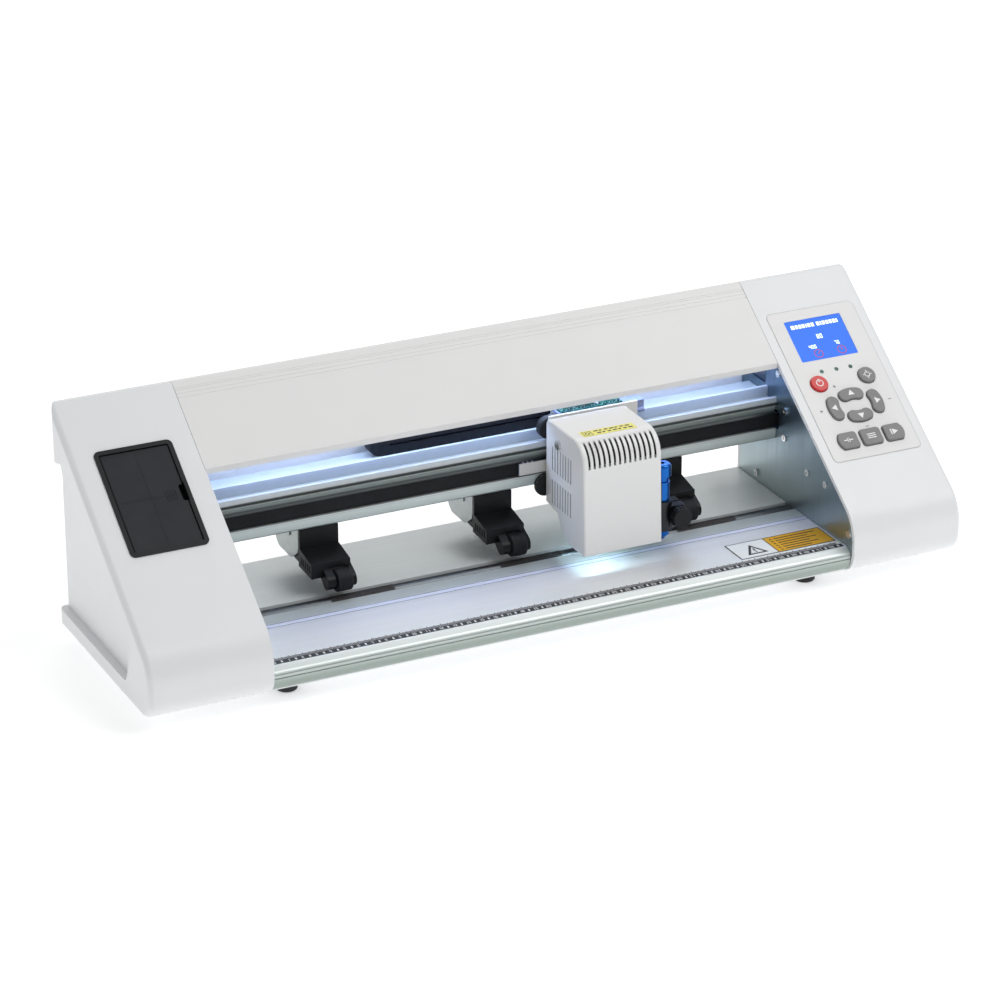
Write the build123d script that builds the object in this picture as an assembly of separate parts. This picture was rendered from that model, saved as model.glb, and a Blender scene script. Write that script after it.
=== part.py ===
from build123d import *
import os
from math import cos, hypot, radians, sin, tan

# Desktop vinyl cutter. Millimetres, +Z up, front towards -Y.
# The origin is the middle of the footprint, on the surface the feet stand on.

# ---- overall ----
OPENING = 436.0            # clear width between the side plates
HOUSING_W = 87.0           # width of each end housing
FRONT_Y = -88.0            # foremost point of the nose
BACK_Y = 88.0              # rearmost point of the top edge
BASE_Z = 10.0              # underside of the housings, the height of the feet
SLOPE = 35.6               # degrees, the sloping face that carries tray and keys
NOSE_Z = 49.2              # height where the slope would meet the front face
SKIN = 3.0                 # moulded wall
GAP = 0.3                  # air between separate pieces
HALF = OPENING / 2
SIDE_X = HALF + HOUSING_W
TAN = tan(radians(SLOPE))
TOP_Z = NOSE_Z + (BACK_Y - FRONT_Y) * TAN
BACK_WALL_Y = 79.0         # back wall between plinth and cap
PLINTH_Z = 23.0            # top of the plinth ledge
RECESS = 6.0               # how far the outer side panel is sunk into its rim
CORNER_R = 13.0            # rear outer corner of a housing, seen from above
PLATE_SCREWS = ((23.3, 122.4), (12.5, 97.3), (12.0, 77.5), (-21.6, 63.5), (-46.7, 64.2),
                (-81.0, 39.9), (70.0, 90.0), (50.0, 36.0))    # (y, z) on each side plate

# ---- sloping panel frame: x across, d down the slope from REF ----
REF_Y = 82.8
REF_Z = NOSE_Z + (REF_Y - FRONT_Y) * TAN
PANEL = Plane(origin=(0, REF_Y, REF_Z), x_dir=(1, 0, 0),
              z_dir=(0, -sin(radians(SLOPE)), cos(radians(SLOPE))))

# ---- bed ----
BED_Z = 29.5
SLOT_Y = (-5.7, 7.3)       # gap between the platens, for the grit shaft
SHAFT_Y, SHAFT_Z, SHAFT_R, GRIT_R = 1.3, 25.0, 4.8, 5.0
RULER_Y = (-77.0, -67.5)
CUT_Y = (-24.7, -19.7)     # cutting strip, under the blade
END_X = HALF - GAP         # ends of everything held between the side plates

# ---- beam and belt ----
BEAM_Y, BEAM_BACK = 24.8, 65.3
BEAM_Z = (72.0, 104.0)
BELT_Z = (81.0, 90.5)
PULLEY_Y, PULLEY_R = 38.0, 9.7
BELT_T = 1.4
IDLER_X, MOTOR_X = -240.0, 248.0

# ---- feed drive, in the left housing ----
FEED_X = (-235.0, -226.0)
FEED_MOTOR_Y, FEED_MOTOR_Z = 23.3, 55.0
FEED_BIG_R, FEED_SMALL_R = 9.0, 5.7

# ---- head ----
HEAD_X = (33.0, 93.0)
HEAD_TOP = 122.6
HEAD_BACK = 22.0
HEAD_SCREW_Y, HEAD_SCREW_Z = 1.6, 110.0
VENT_Y, VENT_PITCH = -16.4, 4.0     # side slots: first from the front, and spacing
VENT_Z, VENT_H = (62.2, 87.2), 18.2  # their two rows
ROLLER_X, ROLLER_Z, ROLLER_R = (38.0, 88.0), 112.3, 8.0
CARRIAGE_Y = (22.3, 24.4)        # the plate between head cover and beam
SHELF_Z = 117.1                  # top of the shelf that carries the head's circuit board
TOOL_X, TOOL_Y, TOOL_R = 101.0, -21.7, 5.7
KNOB_X, KNOB_Z, KNOB_R = 110.5, 54.8, 7.4

# ---- pinch arms ----
ARM_X = (-150.8, -19.8, 114.2)   # left face of each arm
ARM_W = 28.8
PIVOT_Y, PIVOT_Z = 44.3, 63.0
WHEEL_Y, WHEEL_Z, WHEEL_R = 3.3, 40.8, 8.0
CAM_Y, CAM_Z, CAM_R, CAM_THROW = 61.3, 64.0, 5.0, 1.0
LEVER_X = 205.0

# ---- power rocker, at the back of the right housing ----
ROCKER_X = (280.8, 290.2)
ROCKER_Y, ROCKER_Z = 76.5, 39.2

# ---- tray in the left housing, on the panel frame ----
TRAY_X, TRAY_D = (-288.5, -233.3), (43.9, 127.2)
LID_X, LID_D = (-285.0, -237.0), (47.6, 123.5)
LID_AXIS_X, LID_AXIS_H = -284.0, -1.2

# ---- control panel in the right housing, on the panel frame ----
OVERLAY_X, OVERLAY_D = (225.0, 296.0), (30.9, 159.1)
SCREEN_X, SCREEN_D = (236.2, 282.2), (39.7, 74.9)
LAMPS = (247.5, 259.5, 271.0)
LAMP_D = 84.8
ROUND_KEY_R = 6.5
PAD_X, PAD_D = 260.5, 116.6      # centre of the four arrow keys
KEYS = {
    "reset_button": (240.8, 94.6), "origin_button": (279.6, 94.6),
    "up_button": (PAD_X, 107.0), "down_button": (PAD_X, 126.2),
    "left_button": (243.2, PAD_D), "right_button": (277.8, PAD_D),
    "offline_button": (242.0, 143.9), "setup_button": (260.8, 143.9),
    "test_button": (279.4, 143.9),
}
KEY_TOP, KEY_FLOOR = 2.2, -4.5
BOARD_H = -8.0                   # top of the keypad board


# ---------------------------------------------------------------- helpers
def block(x, y, z):
    """Box from (low, high) pairs."""
    return Pos((x[0] + x[1]) / 2, (y[0] + y[1]) / 2, (z[0] + z[1]) / 2) * Box(
        x[1] - x[0], y[1] - y[0], z[1] - z[0])


def rod_x(x, y, z, r):
    return Pos((x[0] + x[1]) / 2, y, z) * Rot(0, 90, 0) * Cylinder(r, x[1] - x[0])


def rod_y(x, y, z, r):
    return Pos(x, (y[0] + y[1]) / 2, z) * Rot(90, 0, 0) * Cylinder(r, y[1] - y[0])


def rod_z(x, y, z, r):
    return Pos(x, y, (z[0] + z[1]) / 2) * Cylinder(r, z[1] - z[0])


def outline(points, radii=()):
    """Closed outline in the YZ plane; radii = ((y, z), r) for corners that are rounded."""
    shape = make_face(Polyline(*points, close=True))
    for (y, z), r in radii:
        corner = min(shape.vertices(), key=lambda v: hypot(v.X - y, v.Y - z))
        shape = fillet(corner, r)
    return shape


def along_x(shape, x):
    """Extrude a YZ outline from x[0] to x[1]."""
    return Pos(x[0], 0, 0) * extrude(Plane.YZ * shape, x[1] - x[0], dir=(1, 0, 0))


def on_panel(x, d, h, shape):
    """Stand a flat sketch on the sloping panel; h = (low, high) above its surface."""
    return PANEL * Pos(x, -d, h[0]) * extrude(shape, h[1] - h[0])


def panel_block(x, d, h, corner=0.0):
    """Rounded box on the panel, from (low, high) pairs."""
    width, length = x[1] - x[0], d[1] - d[0]
    flat = RectangleRounded(width, length, corner) if corner else Rectangle(width, length)
    return on_panel((x[0] + x[1]) / 2, (d[0] + d[1]) / 2, h, flat)


def slope_z(y):
    return NOSE_Z + (y - FRONT_Y) * TAN


def mirrored(shape):
    return mirror(shape, about=Plane.YZ)


def save(name, shape):
    export_step(shape, f"parts/{name}.step")


def group(*shapes):
    return Compound(children=list(shapes))


# ---------------------------------------------------------------- housings
def body_outline():
    """Side view shared by housings and cover: nose, slope, cap, back wall and plinth."""
    cap_z, neck_z, plinth_y = 134.0, 121.0, 84.0
    points = [(FRONT_Y, BASE_Z), (FRONT_Y, NOSE_Z), (BACK_Y, TOP_Z), (BACK_Y, cap_z),
              (BACK_WALL_Y, neck_z), (BACK_WALL_Y, PLINTH_Z), (plinth_y, PLINTH_Z),
              (plinth_y, BASE_Z)]
    radii = [((FRONT_Y, BASE_Z), 17.0), ((FRONT_Y, NOSE_Z), 30.0), ((BACK_Y, TOP_Z), 4.0),
             ((BACK_Y, cap_z), 9.0), ((BACK_WALL_Y, neck_z), 9.0), ((plinth_y, PLINTH_Z), 2.5),
             ((plinth_y, BASE_Z), 3.0)]
    return outline(points, radii)


def inner_outline(wall):
    return offset(body_outline(), amount=-wall, kind=Kind.INTERSECTION)


def recess_outline():
    """Sunken side panel: follows the slope inside its rim and runs out at the back."""
    rim = 6.5
    low_front = (-46.0, PLINTH_Z)
    nose = (-60.0, slope_z(-60.0) - rim)
    shoulder = (48.0, slope_z(48.0) - rim)
    brow = (72.0, 132.0)
    points = [low_front, nose, shoulder, brow, (100.0, 127.0), (100.0, PLINTH_Z)]
    return outline(points, [(low_front, 7.0), (nose, 20.0), (shoulder, 16.0), (brow, 14.0)])


def rounded_corner():
    """Upright block over a housing, round at the rear outer corner."""
    plan = make_face(Polyline((HALF - 1, FRONT_Y - 1), (SIDE_X, FRONT_Y - 1), (SIDE_X, BACK_Y),
                              (HALF - 1, BACK_Y), close=True))
    corner = max(plan.vertices(), key=lambda v: v.X + v.Y)
    return extrude(fillet(corner, CORNER_R), TOP_Z + 1)


def blank_housing():
    """Right-hand housing without openings."""
    shell = along_x(body_outline(), (HALF, SIDE_X))
    rim = [e for e in shell.edges() if e.center().X > SIDE_X - 0.01]
    shell = fillet(rim, 4.0) & rounded_corner()
    cut = along_x(recess_outline(), (SIDE_X - RECESS, SIDE_X + 1))
    shell = shell - cut
    cavity = along_x(inner_outline(SKIN), (HALF - 1, SIDE_X - RECESS - SKIN))
    return shell - cavity


def key_flat(name, grow=0.0):
    """Plan of one key cap, larger by grow all round."""
    arc = CenterArc((0, 0), 16.0, 71.0, 38.0)
    if name in ("reset_button", "origin_button"):
        return Circle(ROUND_KEY_R + grow)
    if name == "setup_button":
        return RectangleRounded(16.0 + 2 * grow, 13.2 + 2 * grow, 2.6 + grow)
    if name in ("offline_button", "test_button"):
        side = -1 if name == "offline_button" else 1
        flat = RectangleRounded(15.6 + 2 * grow, 13.2 + 2 * grow, 2.4 + grow)
        disc = Pos(-side * 1.2, 0) * Circle(9.0 + grow)
        return flat & disc
    turn = {"up_button": 0, "left_button": 90, "down_button": 180, "right_button": 270}[name]
    arch = Pos(0, -16.0) * SlotArc(arc, 9.2 + 2 * grow)
    return Rot(0, 0, turn) * arch


def right_housing():
    shell = blank_housing()
    shell -= panel_block((OVERLAY_X[0] - 0.2, OVERLAY_X[1] + 0.2),
                         (OVERLAY_D[0] - 0.2, OVERLAY_D[1] + 0.2), (-0.6, 3.0), 4.2)
    shell -= panel_block(SCREEN_X, SCREEN_D, (-9.0, 1.0), 1.0)
    for name, (x, d) in KEYS.items():
        shell -= on_panel(x, d, (-9.0, 1.0), key_flat(name, 0.4))
    for x in LAMPS:
        shell -= on_panel(x, LAMP_D, (-9.0, 1.0), Circle(1.6))
    for shape in (socket_shapes(0.3)):
        shell -= shape
    return shell - block((278.6, 292.4), (70.0, 85.0), (29.0, 49.5))


def left_housing():
    shell = mirrored(blank_housing())
    hole = 1.1
    x = (TRAY_X[0] + hole, TRAY_X[1] - hole)
    d = (TRAY_D[0] + hole, TRAY_D[1] - hole)
    return shell - panel_block(x, d, (-9.0, 2.0), 3.0)


def top_cover():
    """Sheet that follows the slope, turns down as a front lip and closes the back."""
    low_back = 72.0
    lip_y = 25.0
    band = body_outline() - inner_outline(SKIN)
    keep = outline([(lip_y, low_back), (lip_y, 200), (120, 200), (120, low_back)])
    lip = outline([(lip_y, 126.0), (lip_y + SKIN, 126.0), (lip_y + SKIN, slope_z(lip_y + SKIN) - 1),
                   (lip_y, slope_z(lip_y) - 1)])
    flange = outline([(66.0, low_back), (66.0, low_back + 2), (78.0, low_back + 2), (78.0, low_back)])
    sheet = along_x(band & keep, (-END_X, END_X))
    sheet = sheet + along_x(lip, (-END_X, END_X)) + along_x(flange, (-END_X, END_X))
    for d in (2.0, 3.5, 6.5, 9.6):
        groove = panel_block((-END_X - 1, END_X + 1), (d - 0.3 + 4, d + 0.3 + 4), (-0.5, 1.0))
        sheet -= groove
    return sheet


def socket_shapes(grow=0.0):
    """Power and data sockets on the main board, at the back of the right housing."""
    jack = rod_y(242.0, (60.0, 80.0), 34.0, 4.5 + grow)
    usb = block((254.0 - grow, 266.0 + grow), (62.0, 79.6), (29.0 - grow, 40.0 + grow))
    return [jack, usb]


# ---------------------------------------------------------------- side plates and screws
def bearing(side):
    x = (HALF, HALF + 4.0)
    ring = rod_x(x, SHAFT_Y, SHAFT_Z, 7.9) - rod_x(x, SHAFT_Y, SHAFT_Z, SHAFT_R + 0.05)
    return ring if side > 0 else mirrored(ring)


def side_plate(side):
    """Steel plate inside a housing, with its belt window, cable window and bearing."""
    x = (HALF, HALF + 2.0)
    plate = along_x(inner_outline(SKIN + 0.2), x)
    plate -= rod_x(x, SHAFT_Y, SHAFT_Z, 8.0)
    plate -= block(x, (21.3, 52.0), (80.0, 94.0))
    plate -= along_x(outline([(42.0, 108.5), (42.0, 122.0), (48.0, 128.0), (64.0, 128.0),
                              (64.0, 108.5)]), x)
    plate -= rod_x(x, CAM_Y, CAM_Z, 4.05)
    for y, z in PLATE_SCREWS:
        plate -= rod_x(x, y, z, 1.6)
    plate = plate if side > 0 else mirrored(plate)
    return group(plate, bearing(side))


def plate_screw(y, z):
    head = rod_x((HALF - 1.3, HALF - 0.02), y, z, 2.6)
    head -= block((HALF - 2, HALF - 0.9), (y - 1.6, y + 1.6), (z - 0.35, z + 0.35))
    head -= block((HALF - 2, HALF - 0.9), (y - 0.35, y + 0.35), (z - 1.6, z + 1.6))
    return head + rod_x((HALF - 0.5, HALF + 6.0), y, z, 1.5)


# ---------------------------------------------------------------- bed
def front_platen():
    """Hollow extrusion with the rounded front rail."""
    top_y, nose_y = -78.0, -84.0
    nose = outline([(SLOT_Y[0], BASE_Z), (SLOT_Y[0], BED_Z), (top_y, BED_Z), (nose_y, 26.5),
                    (nose_y, 17.0), (-75.0, BASE_Z)],
                   [((top_y, BED_Z), 2.0), ((nose_y, 26.5), 3.5), ((nose_y, 17.0), 9.0),
                    ((-75.0, BASE_Z), 3.0)])
    core = outline([(SLOT_Y[0] - 2.5, BASE_Z + 2.5), (SLOT_Y[0] - 2.5, BED_Z - 3.2),
                    (-74.0, BED_Z - 3.2), (-79.0, 24.0), (-79.0, 19.0), (-72.0, BASE_Z + 2.5)])
    length = (-END_X, END_X)
    bed = along_x(nose - core, length)
    bed -= block(length, (RULER_Y[0], RULER_Y[1]), (BED_Z - 0.6, BED_Z + 1))
    bed -= block(length, (CUT_Y[0], CUT_Y[1]), (BED_Z - 1.0, BED_Z + 1))
    for z in (25.2, 22.6):
        bed -= block(length, (-84.2, -83.3), (z - 0.4, z + 0.4))
    return bed


def rear_platen():
    back = 78.5
    shell = outline([(SLOT_Y[1], BASE_Z), (SLOT_Y[1], BED_Z), (back, BED_Z), (back, BASE_Z)])
    core = outline([(SLOT_Y[1] + 2.5, BASE_Z + 2.5), (SLOT_Y[1] + 2.5, BED_Z - 2.5),
                    (back - 2.5, BED_Z - 2.5), (back - 2.5, BASE_Z + 2.5)])
    return along_x(shell - core, (-END_X, END_X))


def foot(x, y):
    body = rod_z(x, y, (0, BASE_Z - 0.02), 7.5)
    return chamfer(body.edges().group_by(Axis.Z)[0], 1.0)


# ---------------------------------------------------------------- grit shaft and feed drive
def grit_sleeve(x):
    ring = rod_x((x, x + 47.0), SHAFT_Y, SHAFT_Z, GRIT_R)
    return ring - rod_x((x, x + 47.0), SHAFT_Y, SHAFT_Z, SHAFT_R)


def flanged_pulley_x(y, z, r, bore):
    drum = rod_x(FEED_X, y, z, r)
    for x in (FEED_X[0] - 1.0, FEED_X[1] - 0.2):
        drum += rod_x((x, x + 1.2), y, z, r + 0.9)
    return drum - rod_x((FEED_X[0] - 2, FEED_X[1] + 2), y, z, bore)


def feed_belt():
    """Closed belt round the motor pulley and the shaft pulley."""
    def loop(grow):
        big = Pos(SHAFT_Y, SHAFT_Z) * Circle(FEED_BIG_R + GAP + grow)
        small = Pos(FEED_MOTOR_Y, FEED_MOTOR_Z) * Circle(FEED_SMALL_R + GAP + grow)
        return make_hull(big.edges() + small.edges())
    return along_x(loop(1.2) - loop(0.0), (FEED_X[0] + 0.6, FEED_X[1] - 0.6))


def feed_motor():
    y, z, half = FEED_MOTOR_Y, FEED_MOTOR_Z, 21.0
    body = block((-278.0, -240.0), (y - half, y + half), (z - half, z + half))
    body = chamfer(body.edges().filter_by(Axis.X), 3.0)
    return body + rod_x((-240.5, -224.0), y, z, 2.5) + rod_x((-240.5, -238.5), y, z, 11.0)


def carriage_motor():
    half = 21.0
    body = block((MOTOR_X - half, MOTOR_X + half), (PULLEY_Y - half, PULLEY_Y + half), (38.0, 77.5))
    body = chamfer(body.edges().filter_by(Axis.Z), 3.0)
    return body + rod_z(MOTOR_X, PULLEY_Y, (77.0, 94.0), 2.5)


def belt_pulley(x, bore):
    drum = rod_z(x, PULLEY_Y, (BELT_Z[0] - 0.4, BELT_Z[1] + 0.4), PULLEY_R)
    for z in (BELT_Z[0] - 1.5, BELT_Z[1] + 0.3):
        drum += rod_z(x, PULLEY_Y, (z, z + 1.2), PULLEY_R + 1.6)
    return drum - rod_z(x, PULLEY_Y, (70.0, 100.0), bore)


def drive_belt():
    def loop(r):
        left = Pos(IDLER_X, PULLEY_Y) * Circle(r)
        right = Pos(MOTOR_X, PULLEY_Y) * Circle(r)
        return make_hull(left.edges() + right.edges())
    inner = PULLEY_R + GAP
    return Pos(0, 0, BELT_Z[0]) * extrude(loop(inner + BELT_T) - loop(inner), BELT_Z[1] - BELT_Z[0])


def belt_brackets():
    """Motor shelf on the right plate and idler shelf with its pin on the left plate."""
    wall, shelf_y, shelf_z = 2.0, (15.0, 62.0), (77.6, 79.2)
    start = HALF + 2.02
    motor = block((start, 270.0), shelf_y, shelf_z)
    motor += block((start, start + wall), shelf_y, (70.0, 79.2))
    motor -= rod_z(MOTOR_X, PULLEY_Y, (70.0, 90.0), 12.0)
    idler = block((-258.0, -start), shelf_y, shelf_z)
    idler += block((-start - wall, -start), shelf_y, (70.0, 79.2))
    idler += rod_z(IDLER_X, PULLEY_Y, (78.0, 93.0), 2.5)
    return group(motor, idler)


# ---------------------------------------------------------------- beam and what hangs on it
def beam():
    """Aluminium guide beam: lower flange, belt channel, hollow band, rail lip, rear wall."""
    y, low, high = BEAM_Y, BEAM_Z[0], BEAM_Z[1]
    front = Polyline((y + 0.4, 97.2), (y, 97.2), (y, 97.6), (y + 1.8, 98.0), (y + 1.8, 99.6), (y, 100.0),
                     (y, high), (27.3, high), (27.3, 100.2), (37.9, 100.2), (37.9, 108.0),
                     (40.3, 108.0), (40.3, 102.0), (BEAM_BACK, 102.0), (BEAM_BACK, low),
                     (y + 1.5, low), (y, low + 1.5), (y, 80.3), (29.0, 80.3), (29.0, 91.2),
                     (y + 0.4, 91.2))
    hollow = ThreePointArc((y + 0.4, 91.2), (y + 2.3, 94.2), (y + 0.4, 97.2))
    core = Polyline((31.5, 75.0), (31.5, 97.0), (62.0, 97.0), (62.0, 75.0), close=True)
    return along_x(make_face(front + hollow) - make_face(core), (-END_X, END_X))


def pinch_bracket(x0):
    """Steel channel under the beam, its pivot pin, and the sleeve of its return spring."""
    side = [(29.2, 71.8), (29.2, 57.6), (30.6, 53.0), (41.9, 45.3), (63.0, 45.7), (69.0, 50.0),
            (69.0, 71.8)]
    cheek = outline(side, [((41.9, 45.3), 6.0), ((69.0, 50.0), 5.0)])
    frame = along_x(cheek, (x0, x0 + 1.5)) + along_x(cheek, (x0 + ARM_W - 1.5, x0 + ARM_W))
    frame += block((x0, x0 + ARM_W), (29.2, 69.0), (70.2, 71.8))
    frame -= rod_x((x0 - 1, x0 + ARM_W + 1), PIVOT_Y, PIVOT_Z, 2.0)
    frame -= rod_x((x0 - 1, x0 + ARM_W + 1), CAM_Y, CAM_Z, 4.1)
    pin = rod_x((x0 - 0.8, x0 + ARM_W + 0.8), PIVOT_Y, PIVOT_Z, 1.98)
    sleeve = rod_z(x0 + ARM_W / 2, 33.2, (60.2, 70.18), 2.4)
    return [frame, pin, sleeve]


def pinch_arm(x0):
    """Black arm: foot with the wheel pocket, flat upright behind it, and tail under the cam."""
    full, tail = (x0, x0 + ARM_W), (x0 + 2.2, x0 + ARM_W - 2.2)
    front = outline([(6.9, 43.0), (6.9, 53.6), (26.58, 57.6), (26.58, 44.1)])
    back = outline([(28.62, 44.3), (28.62, 57.7), (36.0, 58.6), (40.0, 68.8), (49.0, 68.8), (53.0, 59.5),
                    (66.0, 55.5), (68.6, 51.5), (68.6, 50.0), (63.0, 45.9), (41.9, 45.3)])
    foot = along_x(front, full)
    for y in (9.4, 12.9, 16.4, 19.9, 23.4):
        foot -= block((x0 - 1, x0 + 0.9), (y, y + 1.5), (46.5, 52.4))
    wheel = (x0 + 15.5, x0 + 26.5)
    pocket = (wheel[0] - 0.7, wheel[1] + 0.6)
    ear = make_hull((Pos(WHEEL_Y, WHEEL_Z) * Circle(5.4)).edges()
                    + (Pos(14.0, 47.5) * Circle(4.0)).edges())
    for x in ((pocket[0] - 6.0, pocket[0]), (pocket[1], pocket[1] + 2.6)):
        foot += along_x(ear, x)
    foot -= rod_x(pocket, WHEEL_Y, WHEEL_Z, WHEEL_R + 0.7)
    ends = (pocket[0] - 6.0, pocket[1] + 2.6)
    foot -= rod_x(ends, WHEEL_Y, WHEEL_Z, 1.5)
    upright = block(full, (26.6, 28.6), (44.2, 71.2))
    lever = along_x(back, tail) - rod_x(full, PIVOT_Y, PIVOT_Z, 2.05)
    return group(foot, upright, lever, rod_x(ends, WHEEL_Y, WHEEL_Z, 1.48))


def pinch_wheel(x0):
    x = (x0 + 15.5, x0 + 26.5)
    tyre = rod_x(x, WHEEL_Y, WHEEL_Z, WHEEL_R)
    tyre = chamfer(tyre.edges().filter_by(GeomType.CIRCLE), 0.6)
    for side in ((x[0], x[0] + 1.2), (x[1] - 1.2, x[1])):
        tyre -= rod_x(side, WHEEL_Y, WHEEL_Z, 5.4) - rod_x(side, WHEEL_Y, WHEEL_Z, 2.8)
    return tyre - rod_x(x, WHEEL_Y, WHEEL_Z, 1.55)


def cam_shaft():
    shaft = rod_x((ARM_X[0] - 3.0, HALF + 1.9), CAM_Y, CAM_Z, 3.9)
    for x0 in ARM_X:
        shaft += rod_x((x0 + 4.0, x0 + ARM_W - 4.0), CAM_Y, CAM_Z - CAM_THROW, CAM_R)
    return shaft - block((LEVER_X - 4, LEVER_X + 4), (CAM_Y - 5, CAM_Y + 5), (CAM_Z + 3.0, CAM_Z + 5))


def lift_lever():
    """Lever that turns the cam shaft, pointing out of the back of the media gap."""
    droop = 10.0
    hub = rod_x((LEVER_X - 4, LEVER_X + 4), 0, 0, 7.0)
    arm = block((LEVER_X - 3, LEVER_X + 3), (4.0, 22.0), (-2.0, 2.0))
    tip = rod_x((LEVER_X - 5, LEVER_X + 5), 21.0, 0, 3.2)
    bore = rod_x((LEVER_X - 5, LEVER_X + 5), 0, 0, 3.92)
    lever = Rot(-droop, 0, 0) * (hub + arm + tip - bore)
    return Pos(0, CAM_Y, CAM_Z) * lever


def cable_chain():
    """Drag chain lying on the beam behind the head; its links are cut as grooves."""
    x, y, z = (-86.0, 52.0), (53.0, 64.5), (102.1, 117.0)
    chain = block(x, y, z)
    chain = fillet(chain.edges().filter_by(Axis.Y).group_by(Axis.X)[0], 6.5)
    chain -= block((x[0] + 12, x[1] + 1), (y[0] - 1, y[1] + 1), (108.6, 110.4))
    for i in range(13):
        seam = x[0] + 9 + i * 10
        for face in ((y[0] - 1, y[0] + 0.8), (y[1] - 0.8, y[1] + 1)):
            chain -= block((seam, seam + 1.0), face, (z[0] - 1, z[1] + 1))
    return chain


def light_strip():
    bar = block((-END_X, END_X), (31.0, 41.0), (128.4, 129.9))
    lamps = [block((x, x + 5), (33.5, 38.5), (127.4, 128.38)) for x in range(-200, 200, 16)]
    return group(bar, *lamps)


# ---------------------------------------------------------------- head
def head_outline():
    front_low, front_top = (-38.7, 42.1), (-35.0, HEAD_TOP)
    back_top = (HEAD_BACK, HEAD_TOP)
    return outline([front_low, (-19.0, 41.5), (-3.5, 48.1), (2.9, 58.4), (HEAD_BACK, 61.0),
                    back_top, front_top], [(front_top, 17.0), (back_top, 5.0)])


def head_cover():
    """White cover: open underneath and behind, slots over the front edge and in its left side."""
    wall = 2.5
    shell = along_x(head_outline(), HEAD_X)
    sides = [e for e in shell.edges()
             if abs(e.center().X - 63.0) > 29.9 and e.center().Z > 62.0 and e.center().Y < HEAD_BACK - 0.1]
    shell = fillet(sides, 1.6)
    inner = offset(head_outline(), amount=-wall, kind=Kind.INTERSECTION)
    inner_x = (HEAD_X[0] + wall, HEAD_X[1] - wall)
    shell -= along_x(inner, inner_x)
    shell -= block(inner_x, (-36.2, 30.0), (38.0, 66.0))
    shell -= block(inner_x, (HEAD_BACK - 4.0, HEAD_BACK + 1.0), (50.0, 118.0))
    for i in range(14):
        x = HEAD_X[0] + 4.7 + i * 3.89
        shell -= block((x - 0.85, x + 0.85), (-41.0, -25.6), (104.6, 125.0))
    for low in VENT_Z:
        for i in range(8):
            y = VENT_Y + i * VENT_PITCH
            shell -= block((HEAD_X[0] - 1, HEAD_X[0] + 3), (y - 0.7, y + 0.7), (low, low + VENT_H))
    for side in HEAD_X:
        shell -= rod_x((side - 3, side + 3), HEAD_SCREW_Y, HEAD_SCREW_Z, 1.7)
    return shell - block((88.0, 95.0), (-31.5, -9.0), (38.0, 92.0))


def head_screws():
    screws = []
    y, z = HEAD_SCREW_Y, HEAD_SCREW_Z
    for side, out in ((HEAD_X[0], -1), (HEAD_X[1], 1)):
        head = rod_x(sorted((side + out * 0.05, side + out * 1.8)), y, z, 3.3)
        cross = sorted((side + out * 1.0, side + out * 2.5))
        head -= block(cross, (y - 1.8, y + 1.8), (z - 0.4, z + 0.4))
        head -= block(cross, (y - 0.4, y + 0.4), (z - 1.8, z + 1.8))
        screws.append(head + rod_x(sorted((side + out * 0.5, side - out * 6.0)), y, z, 1.5))
    return group(*screws)


def carriage_plate():
    """Plate behind the head with shelf, guide rods, glides, roller axles and belt clamp."""
    front, back = CARRIAGE_Y
    plate = block((36.0, 90.0), CARRIAGE_Y, (64.0, 122.4)) + block((89.0, 104.5), CARRIAGE_Y, (109.5, 122.4))
    for x in (33.5, 92.5):
        plate += rod_y(x, CARRIAGE_Y, 72.0, 8.0)
    plate += block((52.0, 78.0), (front, 36.0), (115.6, SHELF_Z))
    plate += block((50.0, 116.0), (34.5, 51.0), (115.6, SHELF_Z))
    plate += block((101.0, 116.0), (34.5, 36.0), (109.0, SHELF_Z)) + rod_x((103.0, 116.0), 35.2, 109.6, 2.0)
    for x in (36.0, 88.5):
        tab = block((x, x + 1.5), (-4.0, front + 0.1), (104.0, 118.0))
        plate += tab - rod_x((x - 1, x + 3), HEAD_SCREW_Y, HEAD_SCREW_Z, 1.6)
    for z in (64.0, 92.0):
        plate += block((60.0, 86.0), (-12.0, front + 0.1), (z, z + 2.0))
    behind = back + 0.02
    axles = [rod_y(x, (behind, 32.0), ROLLER_Z, 2.0) + rod_y(x, (32.0, 33.0), ROLLER_Z, 3.0)
             for x in ROLLER_X]
    glides = [rod_y(x, (behind, BEAM_Y - 0.1), 76.0, 3.0) for x in (33.0, 93.0)]
    rods = [rod_z(x, -6.0, (66.02, 91.98), 2.0) for x in (66.0, 82.0)]
    clamp = block((14.0, 40.0), (behind, 26.2), (81.4, 90.0))
    for x in (17.0, 20.5, 24.0):
        clamp += rod_z(x, 25.3, (89.9, 90.9), 0.8)
    return group(plate, clamp, *axles, *glides, *rods)


def roller(x):
    y = (25.0, 31.8)
    wheel = rod_y(x, y, ROLLER_Z, ROLLER_R)
    wheel = chamfer(wheel.edges().filter_by(GeomType.CIRCLE), 0.8)
    return wheel - rod_y(x, y, ROLLER_Z, 2.05)


def solenoid():
    x, y = 50.0, 2.0
    can = rod_z(x, y, (70.0, 104.0), 10.0)
    plunger = rod_z(x, y, (62.0, 70.5), 3.0)
    return can + plunger + block((x - 2, x + 2), (y + 8, CARRIAGE_Y[0] - 0.02), (80.0, 92.0))


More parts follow.
